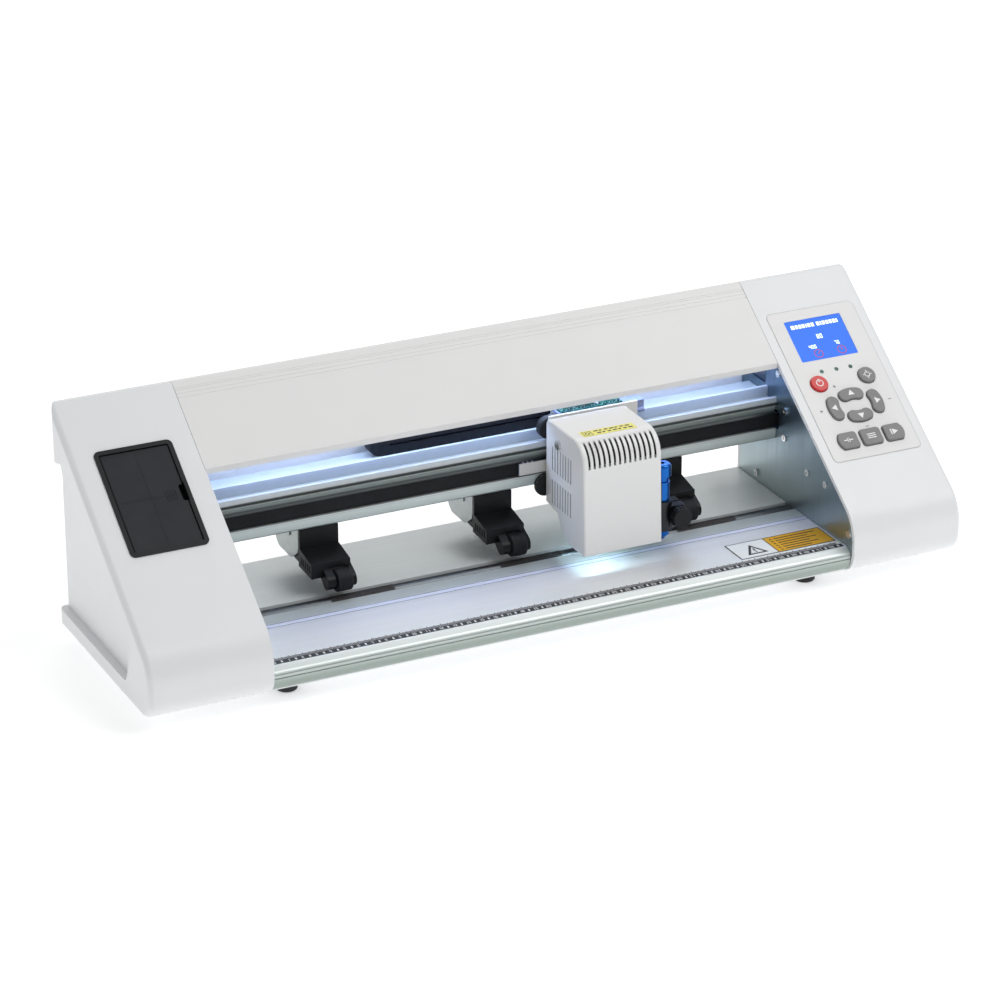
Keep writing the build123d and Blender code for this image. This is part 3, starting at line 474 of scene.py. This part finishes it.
DULL = {"Specular_IOR_Level": 0.22}
M = {
    "shell": plastic("shell_plastic", (0.79, 0.80, 0.81), 0.40, 1700.0, 0.000008, 0.010,
                     Coat_Weight=0.10, Coat_Roughness=0.3),
    "cover": plastic("cover_paint", (0.79, 0.785, 0.78), 0.45, 1100.0, 0.000008, 0.010),
    "head": plastic("head_plastic", (0.79, 0.79, 0.79), 0.32, 1700.0, 0.000004, 0.006,
                    Coat_Weight=0.15, Coat_Roughness=0.25),
    "plate": plate_material(),
    "screw": metal("screw_steel", (0.72, 0.72, 0.73), 0.22),
    "bed": bed_material(),
    "strip_pale": plastic("cutting_strip_plastic", (0.66, 0.70, 0.83), 0.45, 900.0, 0.00001, 0.03),
    "line": plastic("joint_line", (0.10, 0.12, 0.21), 0.5, 900.0, 0.000004, 0.06),
    "rail": rail_material(),
    "beam": beam_material(),
    "shaft": metal("shaft_steel", (0.11, 0.12, 0.13), 0.40, (0.02, 1, 1)),
    "grit": knurled("grit_band", (0.050, 0.046, 0.048), 0.62),
    "belt": plastic("belt_rubber", (0.010, 0.011, 0.013), 0.55, 900.0, 0.00003, 0.15, **DULL),
    "motor": plastic("motor_paint", (0.02, 0.02, 0.022), 0.42, 800.0, 0.00002, 0.10),
    "pulley": metal("pulley_aluminium", (0.78, 0.79, 0.80), 0.28),
    "zinc": metal("zinc_steel", (0.34, 0.37, 0.37), 0.38),
    "arm": plastic("arm_plastic", (0.0055, 0.006, 0.007), 0.36, 700.0, 0.000012, 0.15, **DULL),
    "tyre": plastic("wheel_rubber", (0.016, 0.017, 0.019), 0.58, 1300.0, 0.00003, 0.12, **DULL),
    "chain": plastic("chain_plastic", (0.007, 0.0075, 0.010), 0.48, 900.0, 0.00001, 0.12, **DULL),
    "strip": glow("lamp_strip", (0.60, 0.72, 1.0), 9.0),
    "lamp": glow("head_lamp", (0.66, 0.90, 1.0), 46.0),
    "board": circuit("circuit_board"),
    "chip": plastic("chip_epoxy", (0.02, 0.02, 0.022), 0.45, 2500.0, 0.00001, 0.10),
    "solder": metal("solder_tin", (0.75, 0.76, 0.78), 0.30, (1, 1, 1), 900.0, 0.00002),
    "blue": Paint("holder_anodised", 0.24, 0.85).colour((0.010, 0.12, 0.46), 0.08, 90.0)
            .roughness(0.05, 300.0, (1, 1, 0.05)).grain(900.0, 0.000006, (1, 1, 0.02)).mat,
    "knob": plastic("knob_plastic", (0.011, 0.012, 0.014), 0.46, 900.0, 0.00002, 0.12, **DULL),
    "slide": metal("slide_anodised", (0.045, 0.048, 0.055), 0.40),
    "coil": metal("solenoid_steel", (0.50, 0.52, 0.54), 0.38),
    "tray": plastic("tray_plastic", (0.010, 0.011, 0.012), 0.42, 1300.0, 0.00002, 0.10, **DULL),
    "lid": plastic("lid_plastic", (0.018, 0.020, 0.024), 0.50, 1300.0, 0.00003, 0.08, **DULL),
    "film": plastic("panel_film", (0.79, 0.79, 0.785), 0.45, 2200.0, 0.000008, 0.01),
    "key": plastic("key_plastic", (0.20, 0.20, 0.20), 0.42, 1600.0, 0.000015, 0.04),
    "red": plastic("key_red_plastic", (0.62, 0.028, 0.026), 0.34, 1600.0, 0.000015, 0.05),
    "print_white": plastic("white_print", (0.86, 0.86, 0.86), 0.5, 2500.0, 0.000004, 0.02),
    "print_black": plastic("black_print", (0.02, 0.02, 0.022), 0.5, 2500.0, 0.000004, 0.10),
    "label_white": plastic("label_white", (0.84, 0.86, 0.87), 0.35, 2000.0, 0.000004, 0.02),
    "label_amber": plastic("label_amber", (0.74, 0.40, 0.012), 0.35, 2000.0, 0.000004, 0.05),
    "label_yellow": plastic("label_yellow", (0.86, 0.80, 0.20), 0.35, 2000.0, 0.000004, 0.04),
    "gloss": plastic("switch_plastic", (0.015, 0.015, 0.016), 0.18, 1200.0, 0.00001, 0.10),
    "foot": plastic("foot_rubber", (0.022, 0.022, 0.023), 0.62, 900.0, 0.00004, 0.12),
    "head_plate": carriage_material(),
    "screen": screen_material(),
    "outline": Paint("outline_grey", 0.5).colour((0.50, 0.51, 0.52), 0.05, 90.0)
               .grain(2500.0, 0.000004).mat,
    "screen_white": glow("screen_white", (0.75, 0.85, 1.0), 1.0),
    "screen_red": glow("screen_red", (0.42, 0.05, 0.12), 0.3),
}


NODE_MATERIALS = {
    "shell": ["left_housing", "right_housing"], "cover": ["top_cover"], "head": ["head_cover"],
    "plate": ["left_side_plate", "right_side_plate"], "screw": ["plate_screws", "head_screws"],
    "bed": ["front_platen"], "rail": ["rear_platen"], "beam": ["beam"], "strip_pale": ["cutting_strip"],
    "label_white": ["ruler_strip"], "shaft": ["grit_shaft", "cam_shaft"], "grit": ["grit_sleeves"],
    "pulley": ["shaft_pulley", "feed_motor_pulley", "motor_pulley", "idler_pulley"],
    "motor": ["stepper_motors"], "belt": ["feed_belt"], "zinc": ["belt_brackets", "pinch_brackets"],
    "strip": ["light_strip"], "knob": ["lift_lever", "clamp_knob"], "film": ["control_overlay"],
    "tyre": ["left_roller", "right_roller"], "coil": ["lift_solenoid"],
    "board": ["carriage_board", "keypad_board", "main_board"], "slide": ["tool_slide"],
    "blue": ["blade_holder"], "tray": ["tray_well"], "lid": ["tray_lid"], "screen": ["lcd_module"],
    "gloss": ["switch_body", "power_rocker"],
    "foot": ["rubber_feet"], "arm": ["pinch_arm_1", "pinch_arm_2", "pinch_arm_3"],
    "key": [f"{name}_button" for name in KEYS if name != "reset"], "red": ["reset_button"],
    "head_plate": ["carriage_plate"],
}


def dress_nodes():
    """Gives every CAD node that stays visible its material."""
    for key, names in NODE_MATERIALS.items():
        for name in names:
            mesh = NODES[name].data
            mesh.materials.clear()
            mesh.materials.append(M[key])


# ---------------------------------------------------------------- bed: ruler, labels
def ruler():
    """Black comb of millimetre ticks over a dark band with pale centimetre numbers."""
    ticks, pale = Shape(), Shape()
    low, middle = -76.9, -72.0            # front and back edge of the dark band
    first, pitch, tick_half = -212.0, 10.0, 0.36
    top = BED_Z + 0.1
    ink = (top, top + PRINT)
    over = (top + PRINT, top + 2 * PRINT)
    ticks.bar((-HALF + 1, HALF - 1), (low, middle), ink)
    for i in range(-213, 214):
        if i % 10 == 0:
            length = 4.1
        elif i % 5 == 0:
            length = 3.6
        else:
            length = 3.0
        ticks.bar((i - tick_half, i + tick_half), (middle - 0.2, middle + length), ink)
    for number in range(43):
        at = first + number * pitch
        digits(pale, str(number), at, low + 1.0, 3.0, over[0], over[1])
        pale.bar((at + 4.4, at + 5.6), (low + 1.2, middle - 1.0), over)
    pale.piece("ruler_numbers", M["label_white"], "frame", "ruler_white")
    ticks.piece("ruler_print", M["print_black"], "frame", "strip_dark")


def cutting_strip_lines():
    """Narrow joints on both sides of the cutting strip."""
    shape = Shape()
    width = 0.6
    for v in (-25.0, -20.0):
        shape.bar((-HALF + 0.5, HALF - 0.5), (v, v + width), (BED_Z, BED_Z + PRINT))
    shape.piece("cutting_strip_lines", M["line"], "frame", "strip_dark")


def cover_ribs():
    """Shallow floor of the fine grooves along the top of the cover."""
    shape = Shape(panel)
    half, sunk = 0.29, (-0.49, -0.14)
    for v in (6.0, 7.5, 10.5, 13.6):
        shape.bar((-HALF + 0.5, HALF - 0.5), (v - half, v + half), sunk)
    shape.piece("cover_groove_floor", M["cover"], "frame", "cover_white")


def guide_pads():
    """Black guide pads that show beside the head, low down on the carriage plate."""
    shape = Shape(along_y)
    profile = [(7.6, 22.05), (8.25, 22.5), (8.25, 24.2), (7.8, 24.7)]
    for u in (33.5, 92.5):
        shape.turned(profile, (u, 72.0), 40)
    shape.piece("guide_pads", M["tyre"], "carriage", "wheel_rubber")


def head_slots():
    """Black sheet of painted shade seen in the slots of the head: bent round its front edge, flat in its
    left side.
    """
    # Painted shade: a black sheet behind the slots stands in for the dark inside of the head.
    slot_shade = Shape(along_x)
    centre_y, centre_z = -18.76, 105.6    # of the head's rounded front edge
    start, sweep, steps = 119.0, 57.0, 8
    sector = []
    for radius, turns in ((16.5, range(steps + 1)), (14.6, range(steps, -1, -1))):
        for i in turns:
            a = math.radians(start + sweep * i / steps)
            sector.append((centre_y + radius * math.cos(a), centre_z + radius * math.sin(a)))
    front_x, front_pitch, front_half = 37.7, 3.89, 0.83
    for i in range(14):
        x = front_x + i * front_pitch
        slot_shade.prism(sector, x - front_half, x + front_half)
    side_y, side_pitch, side_half = -16.4, 4.0, 0.68
    for low in (62.2, 87.2):
        for i in range(8):
            y = side_y + i * side_pitch
            slot_shade.bar((y - side_half, y + side_half), (low + 0.02, low + 18.18), (33.4, 35.5))
    slot_shade.piece("head_slot_shade", M["belt"], "carriage", "strip_dark")


SEGMENTS = {"0": "abcdef", "1": "bc", "2": "abged", "3": "abgcd", "4": "fgbc", "5": "afgcd",
            "6": "afgedc", "7": "abc", "8": "abcdefg", "9": "abcdfg"}


def digits(shape, text, u, v, height, low, high, flip=1.0):
    """Plain seven-bar numerals, centred on u, standing on v; flip -1 where v runs downwards."""
    width, line = height * 0.52, height * 0.15
    step = width * 1.35
    start = u - (len(text) * step) / 2
    for k, letter in enumerate(text):
        a = start + k * step
        bars = {"a": ((0, width), (height - line, height)), "d": ((0, width), (0, line)),
                "g": ((0, width), (height / 2 - line / 2, height / 2 + line / 2)),
                "b": ((width - line, width), (height / 2, height)),
                "c": ((width - line, width), (0, height / 2)),
                "f": ((0, line), (height / 2, height)), "e": ((0, line), (0, height / 2))}
        for bar in SEGMENTS[letter]:
            (u0, u1), (v0, v1) = bars[bar]
            v2, v3 = sorted((v + flip * v0, v + flip * v1))
            shape.bar((a + u0, a + u1), (v2, v3), (low, high))


def bed_label():
    """Plain two-part sticker: a white panel with a warning triangle, an amber panel with bars."""
    y = (-66.0, -40.5)
    panel_y = (y[0] + 0.9, y[1] - 0.9)
    levels = [BED_Z + height for height in (0.0, 0.08, 0.12, 0.15, 0.17, 0.19)]
    edge_z, panel_z, mark_z, inner_z, sign_z = zip(levels, levels[1:])
    edge = Shape()
    edge.prism(rounded((141.0, 216.2), y, 0.6), *edge_z)
    edge.piece("bed_label_edge", M["print_black"], "frame", "strip_dark")
    white = Shape()
    white.bar((142.0, 170.6), panel_y, panel_z)
    white.piece("bed_label_white", M["label_white"], "frame", "ruler_white")
    amber = Shape()
    amber.bar((171.4, 215.4), panel_y, panel_z)
    amber.piece("bed_label_amber", M["label_amber"], "frame", "strip_dark")
    marks = Shape()
    marks.prism([(149.0, -61.5), (165.0, -61.5), (157.0, -46.5)], *mark_z)
    for row in range(6):
        v = y[1] - 4.4 - row * 3.5
        marks.prism([(174.0, v - 0.9), (176.4, v - 0.9), (175.2, v + 1.1)], *mark_z)
        marks.bar((178.0, 210.0 - (row * 7) % 12), (v - 0.6, v + 0.6), mark_z)
    marks.piece("bed_label_marks", M["print_black"], "frame", "strip_dark")
    inner = Shape()
    inner.prism([(151.9, -59.9), (162.1, -59.9), (157.0, -50.2)], *inner_z)
    inner.piece("bed_label_inner", M["label_white"], "frame", "ruler_white")
    sign = Shape()
    sign.bar((156.3, 157.7), (-56.6, -52.9), sign_z)
    sign.bar((156.3, 157.7), (-58.9, -57.5), sign_z)
    sign.piece("bed_label_sign", M["print_black"], "frame", "strip_dark")


def head_label():
    """Yellow sticker on top of the head, with a plain frame and two rows of bars."""
    y = (-20.6, -11.4)
    thick = 0.08
    paper = Shape()
    paper.prism(rounded((41.0, 82.0), y, 0.5), HEAD_TOP, HEAD_TOP + thick)
    paper.piece("head_label_yellow", M["label_yellow"], "carriage", "ruler_white")
    marks = Shape()
    low, high = HEAD_TOP + thick, HEAD_TOP + thick + PRINT
    ink = (low, high)
    for v, shift in ((-13.9, 0.0), (-17.4, 1.2)):
        for k in range(7):
            u = 51.5 + k * 4.0 + shift
            marks.bar((u, u + 3.1 - (k * 5) % 3 * 0.5), (v - 0.85, v + 0.85), ink)
    left, right, line = 42.4, 49.1, 0.5
    for u in (left, right - line):
        marks.bar((u, u + line), (y[0] + 1.2, y[1] - 1.2), ink)
    for v in (y[0] + 1.2, y[1] - 1.7):
        marks.bar((left, right), (v, v + line), ink)
    marks.turned(washer(1.9, 1.2, low, high), (45.8, -16.0), 24)
    marks.piece("head_label_marks", M["print_black"], "carriage", "strip_dark")


# ---------------------------------------------------------------- belt and chain
def drive_belt():
    """Toothed belt: two straight runs and a wrap round each pulley, teeth inside."""
    y0, r, thick, pitch = 38.0, 10.0, 1.4, 2.032
    left, right = -240.0, 248.0           # the two pulleys
    low, high = 81.0, 90.5
    root, tip = 0.5, 0.02                 # of the teeth, out from the inner line
    run = right - left
    total = 2 * run + 2 * math.pi * r
    count = int(total / pitch)
    step = total / count

    def at(s, out):
        """Point at distance s round the loop, out from its inner line."""
        s %= total
        rr = r + out
        if s < run:
            return left + s, y0 - rr
        s -= run
        if s < math.pi * r:
            a = -math.pi / 2 + s / r
            return right + rr * math.cos(a), y0 + rr * math.sin(a)
        s -= math.pi * r
        if s < run:
            return right - s, y0 + rr
        s -= run
        a = math.pi / 2 + s / r
        return left + rr * math.cos(a), y0 + rr * math.sin(a)

    inner, outer = [], []
    for i in range(count):
        s = i * step
        for share, out in ((0.0, root), (0.22, root), (0.34, tip), (0.66, tip), (0.78, root)):
            inner.append(at(s + share * step, out))
            outer.append(at(s + share * step, thick))
    shape = Shape()
    shape.ring(inner, outer, low, high)
    shape.piece("drive_belt_toothed", M["belt"], "frame", "belt_black", ["drive_belt"], 50.0)


def cable_chain():
    """Drag chain along the back of the beam: close-set links, folded over at its left end."""
    shape = Shape(along_y)
    front, back = 53.0, 64.5
    left, pitch, seam, edge, links = -78.0, 10.0, 0.12, 0.15, 13
    for low, high in ((102.2, 108.9), (110.3, 117.0)):
        for i in range(links):
            u = left + i * pitch
            shape.prism(cut_corners((u, u + pitch - seam), (low, high), edge), front, back)
    fold = [(7.2, front + 0.2), (7.4, front + 0.6), (7.4, back - 0.6), (7.2, back - 0.2)]
    shape.turned(fold, (left - 0.2, 109.6), 36)
    shape.piece("cable_chain_links", M["chain"], "frame", "chain_black", ["cable_chain"])


# ---------------------------------------------------------------- pinch wheels and springs
def pinch_wheel(number, x0):
    """Rubber tyre with fine grooves and a stepped hub."""
    left, right = x0 + 15.5, x0 + 26.5
    bore, hub, rim = 1.55, 2.7, 5.5
    web, edge = 1.1, 0.7                  # step of the hub's face, bevel of the tyre
    shoulder = WHEEL_R - edge
    groove, pitch = 0.22, 1.15
    profile = [(bore, left), (hub, left), (hub + 0.2, left + web), (rim - 0.3, left + web), (rim, left),
               (shoulder, left), (WHEEL_R, left + edge)]
    w = left + 1.6
    while w < right - 1.8:
        profile += [(WHEEL_R, w), (WHEEL_R - groove, w + 0.12), (WHEEL_R - groove, w + 0.30),
                    (WHEEL_R, w + 0.42)]
        w += pitch
    profile += [(WHEEL_R, right - edge), (shoulder, right), (rim, right), (rim - 0.3, right - web),
                (hub + 0.2, right - web), (hub, right), (bore, right), (bore, left)]
    shape = Shape(along_x)
    shape.turned(profile, (WHEEL_Y, WHEEL_Z), 48)
    name = f"pinch_tyre_{number}"
    shape.piece(name, M["tyre"], f"wheel_{number}", "wheel_rubber", [f"pinch_wheel_{number}"], 30.0)


def pinch_springs():
    """Return springs wound round the sleeves under the beam."""
    shape = Shape()
    turns, steps = 6, 14
    y, radius, wire = 33.2, 2.8, 0.38
    bottom, height = 61.0, 8.6
    for x0 in ARM_X:
        path = []
        for i in range(turns * steps + 1):
            a = math.tau * i / steps
            z = bottom + height * i / (turns * steps)
            path.append((x0 + ARM_W / 2 + radius * math.cos(a), y + radius * math.sin(a), z))
        shape.tube(path, wire, 8)
    shape.piece("pinch_springs", M["screw"], "frame", "screw_steel")


def rear_sockets():
    """Black sleeve of the power socket and steel shell of the data socket, in the right housing's back."""
    deep, flange, face = 67.0, 80.02, 80.2
    bore, sleeve, collar = 3.0, 3.18, 4.5
    jack = Shape(along_y)
    jack.turned([(bore, deep), (sleeve, deep), (sleeve, flange), (collar, flange), (collar, face),
                 (bore, face), (bore, deep)], (242.0, 34.0), 40)
    jack.piece("power_socket_sleeve", M["gloss"], "frame", "strip_dark")
    data = Shape(along_y)
    rim = rounded((254.0, 266.0), (29.0, 40.0), 0.6)
    mouth = rounded((256.2, 263.8), (31.2, 37.8), 0.4)
    shell = rounded((256.02, 263.98), (31.02, 37.98), 0.4)
    data.ring(rim, mouth, 79.62, 79.8)
    data.ring(shell, mouth, deep, 79.6)
    data.piece("data_socket_shell", M["screw"], "frame", "screw_steel")


# ---------------------------------------------------------------- keypad
def turned_point(u, v, angle, centre_u, centre_v):
    """Point (u, v) turned by an angle, then moved to a centre."""
    return (centre_u + u * math.cos(angle) - v * math.sin(angle),
            centre_v + u * math.sin(angle) + v * math.cos(angle))


def key_signs():
    """White signs on the keys: triangles on the arrows, plain symbols on the rest."""
    low, high = KEY_TOP, KEY_TOP + 0.04
    turns = {"up": 0, "right": 90, "down": 180, "left": 270}
    for name, (x, d) in KEYS.items():
        shape = Shape(panel)
        if name in turns:
            a = math.radians(turns[name])
            points = []
            for u, v in ((-2.5, 1.6), (2.5, 1.6), (0.0, -2.6)):
                points.append(turned_point(u, v, a, x, d))
            shape.prism(points, low, high)
        elif name == "reset":
            shape.turned(washer(2.9, 2.2, low, high), (x, d), 28)
            shape.bar((x - 0.4, x + 0.4), (d - 3.6, d - 0.6), (low, high))
        elif name == "origin":
            shape.turned(washer(2.2, 1.6, low, high), (x, d), 28)
            for u in (-3.6, 1.2):
                shape.bar((x + u, x + u + 2.4), (d - 0.3, d + 0.3), (low, high))
                shape.bar((x - 0.3, x + 0.3), (d + u, d + u + 2.4), (low, high))
        elif name == "offline":
            shape.bar((x - 3.6, x - 0.5), (d - 0.4, d + 0.4), (low, high))
            shape.bar((x + 0.5, x + 3.6), (d - 0.4, d + 0.4), (low, high))
            shape.bar((x - 0.9, x - 0.4), (d - 1.8, d + 1.8), (low, high))
            shape.bar((x + 0.4, x + 0.9), (d - 1.8, d + 1.8), (low, high))
        elif name == "setup":
            for v in (-1.9, -0.35, 1.2):
                shape.bar((x - 3.4, x + 3.4), (d + v, d + v + 0.7), (low, high))
        else:
            shape.prism([(x - 1.6, d - 2.3), (x + 2.8, d), (x - 1.6, d + 2.3)], low, high)
            shape.bar((x - 3.2, x - 2.3), (d - 2.3, d + 2.3), (low, high))
        shape.piece(f"{name}_sign", M["print_white"], f"{name}_key", "ruler_white")


def panel_print():
    """Small plus and minus signs beside the arrow keys, and a fine line round the control overlay."""
    shape = Shape(panel)
    low, high = FILM_TOP, FILM_TOP + PRINT
    reach, half = 1.3, 0.22
    for u, v, plus in ((251.5, 98.6, True), (233.0, 116.6, True), (288.6, 116.6, False),
                       (262.0, 134.9, False)):
        shape.bar((u - reach, u + reach), (v - half, v + half), (low, high))
        if plus:
            shape.bar((u - half, u + half), (v - reach, v + reach), (low, high))
    shape.piece("panel_signs", M["print_black"], "frame", "strip_dark")
    edge = Shape(panel)
    outer = rounded((225.15, 295.85), (31.05, 158.95), 3.9)
    inner = rounded((225.4, 295.6), (31.3, 158.7), 3.65)
    edge.ring(outer, inner, low, high - 0.01)
    edge.piece("panel_outline", M["outline"], "frame", "overlay_grey")


def screen_print():
    """What the display shows: two title bars, three numbers and two dials, all generic."""
    low, high = SCREEN_TOP, SCREEN_TOP + PRINT
    ink = (low, high)
    row = (43.6, 46.8)
    gap = 0.7
    white = Shape(panel)
    u = 240.0
    for width in (3.6, 2.6, 2.8, 2.8, 1.6, 3.0, 3.0):
        white.bar((u, u + width - gap), row, ink)
        u += width
    u += 2 * gap
    for width in (3.0, 1.6, 3.0, 2.8, 2.8, 3.0, 1.8):
        white.bar((u, min(u + width - gap, 279.6)), row, ink)
        u += width
    digits(white, "80", 259.0, 57.4, 3.6, low, high, -1.0)
    digits(white, "400", 250.0, 65.0, 3.0, low, high, -1.0)
    digits(white, "70", 270.0, 64.6, 3.0, low, high, -1.0)
    white.piece("screen_marks", M["screen_white"], "frame", "screen_blue")
    red = Shape(panel)
    dial_v = 69.6
    for u, turn in ((252.0, 35.0), (271.0, 0.0)):
        red.turned(washer(3.6, 3.0, low, high), (u, dial_v), 32)
        hand = []
        for p, q in ((-0.3, 0.4), (0.3, 0.4), (0.3, -2.3), (-0.3, -2.3)):
            hand.append(turned_point(p, q, math.radians(turn), u, dial_v))
        red.prism(hand, low, high)
    red.piece("screen_dials", M["screen_red"], "frame", "screen_blue")


# ---------------------------------------------------------------- tray lid
def lid_relief():
    """Faint cross lines and a ridged grip on the lid."""
    lid = Shape(panel)
    top = -0.2                            # of the lid, against the sloping panel
    line, raised = 0.25, 0.07
    for u in (-261.2, -260.4):
        lid.bar((u, u + line), (49.5, 121.5), (top, top + raised))
    for v in (85.0, 85.8):
        lid.bar((-283.0, -241.5), (v, v + line), (top, top + raised))
    grip, pitch, ridge = -250.2, 1.7, 0.28
    for k in range(5):
        u = grip + k * pitch
        lid.prism(rounded((u, u + 0.7), (81.4, 89.4), 0.3, 3), top, top + ridge)
    lid.piece("lid_relief", M["lid"], "lid", "lid_black")


# ---------------------------------------------------------------- circuit parts on the head
def head_electronics():
    """Chips, sockets and small parts on the board behind the head."""
    random.seed(7)
    chips, tin, pale = Shape(), Shape(), Shape()
    top = BOARD_TOP
    cap = 0.25                            # solder caps at both ends of a chip
    for k in range(16):
        u = 53.5 + k * 2.8
        v = 34.9 + random.random() * 1.6
        w, h = 1.0 + random.random() * 1.2, 0.5 + random.random() * 0.6
        depth = (v + 0.3, v + 1.2)
        chips.bar((u, u + w), depth, (top, top + h))
        tin.bar((u - cap, u), depth, (top, top + h * 0.8))
        tin.bar((u + w, u + w + cap), depth, (top, top + h * 0.8))
    for k in range(9):
        u = 56.6 + k * 1.05
        tin.bar((u, u + 0.4), (37.5, 38.02), (top, top + 1.4))
    pale.bar((79.4, 81.4), (37.4, 49.5), (top, top + 4.6))
    for k in range(5):
        tin.turned([(0.35, top), (0.35, top + 5.4)], (80.4, 39.2 + k * 2.2), 8)
    for u in (53.6, 97.4):
        tin.turned([(1.6, top), (1.6, top + 0.9)], (u, 48.8), 20)
    chips.piece("head_board_chips", M["chip"], "carriage", "strip_dark")
    tin.piece("head_board_pins", M["solder"], "carriage", "screw_steel")
    pale.piece("head_board_socket", M["label_white"], "carriage", "ruler_white")


def head_lamp():
    """Lit lens under the lamp inside the head; it lights the bed below."""
    lens = Shape()
    lens.prism(rounded((41.0, 57.0), (-29.2, -22.8), 1.2), 57.4, 58.0)
    lens.piece("head_lamp_lens", M["lamp"], "carriage", "lamp_white")


# ---------------------------------------------------------------- camera, floor and light
def look_at(obj, target):
    """Turns a camera or a lamp towards a point in metres."""
    direction = Vector(target) - obj.location
    obj.rotation_mode = "QUATERNION"
    obj.rotation_quaternion = direction.to_track_quat("-Z", "Y")


def camera():
    """Seen from the front left and above, through a long lens."""
    data = bpy.data.cameras.new("camera")
    data.sensor_width = 36.0
    data.lens = 139.74
    data.clip_start, data.clip_end = 0.05, 50.0
    cam = bpy.data.objects.new("camera", data)
    bpy.context.scene.collection.objects.link(cam)
    cam.location = (-1.0714, -2.1883, 1.1487)
    look_at(cam, (0.0185, 0.0645, 0.0466))
    bpy.context.scene.camera = cam


def area(name, where, target, size, power):
    """Soft white lamp: where it is, what it faces, its size in metres, its watts."""
    data = bpy.data.lights.new(name, "AREA")
    data.shape = "RECTANGLE"
    data.size, data.size_y = size
    data.energy = power
    lamp = bpy.data.objects.new(name, data)
    lamp.location = where
    bpy.context.scene.collection.objects.link(lamp)
    look_at(lamp, target)


def floor():
    """Wide sheet of white paper that the machine stands on."""
    size = 6.0
    corners = [(-size, -size, 0.0), (size, -size, 0.0), (size, size, 0.0), (-size, size, 0.0)]
    mesh = bpy.data.meshes.new("floor")
    mesh.from_pydata(corners, [], [(0, 1, 2, 3)])
    paper = Paint("floor_paper", 0.9, 0.0, Emission_Strength=0.39)
    paper.colour((0.93, 0.93, 0.93), 0.01, 1.5)
    mesh.materials.append(paper.mat)
    sheet = bpy.data.objects.new("floor", mesh)
    bpy.context.scene.collection.objects.link(sheet)


def surroundings():
    """Even studio light, grey from below and white from above."""
    world = bpy.data.worlds.new("studio")
    bpy.context.scene.world = world
    world.use_nodes = True
    tree = world.node_tree
    back = tree.nodes["Background"]
    source = tree.nodes.new("ShaderNodeTexCoord")
    split = tree.nodes.new("ShaderNodeSeparateXYZ")
    ramp = tree.nodes.new("ShaderNodeValToRGB")
    tree.links.new(source.outputs["Generated"], split.inputs["Vector"])
    tree.links.new(split.outputs["Z"], ramp.inputs["Fac"])
    grey, white = ramp.color_ramp.elements
    grey.position, grey.color = 0.0, (0.50, 0.51, 0.52, 1)
    white.position, white.color = 0.9, (1.0, 1.0, 1.0, 1)
    tree.links.new(ramp.outputs["Color"], back.inputs["Color"])
    back.inputs["Strength"].default_value = 0.44


def lamps():
    area("key_light", (1.2, -0.9, 2.2), (0.1, 0, 0.05), (1.8, 1.8), 34.0)
    area("back_light", (0.3, 1.7, 1.9), (0, 0, 0.1), (2.4, 1.0), 16.0)
    area("side_light", (-2.3, 0.4, 0.9), (-0.2, 0, 0.08), (1.0, 1.0), 6.0)


def main():
    dress_nodes()
    ruler()
    cutting_strip_lines()
    cover_ribs()
    guide_pads()
    head_slots()
    bed_label()
    head_label()
    drive_belt()
    cable_chain()
    for number, x0 in enumerate(ARM_X, 1):
        pinch_wheel(number, x0)
    pinch_springs()
    rear_sockets()
    key_signs()
    panel_print()
    screen_print()
    lid_relief()
    head_electronics()
    head_lamp()
    camera()
    floor()
    surroundings()
    lamps()
    bpy.context.scene.view_settings.view_transform = "Standard"


main()
bpy.context.view_layer.update()
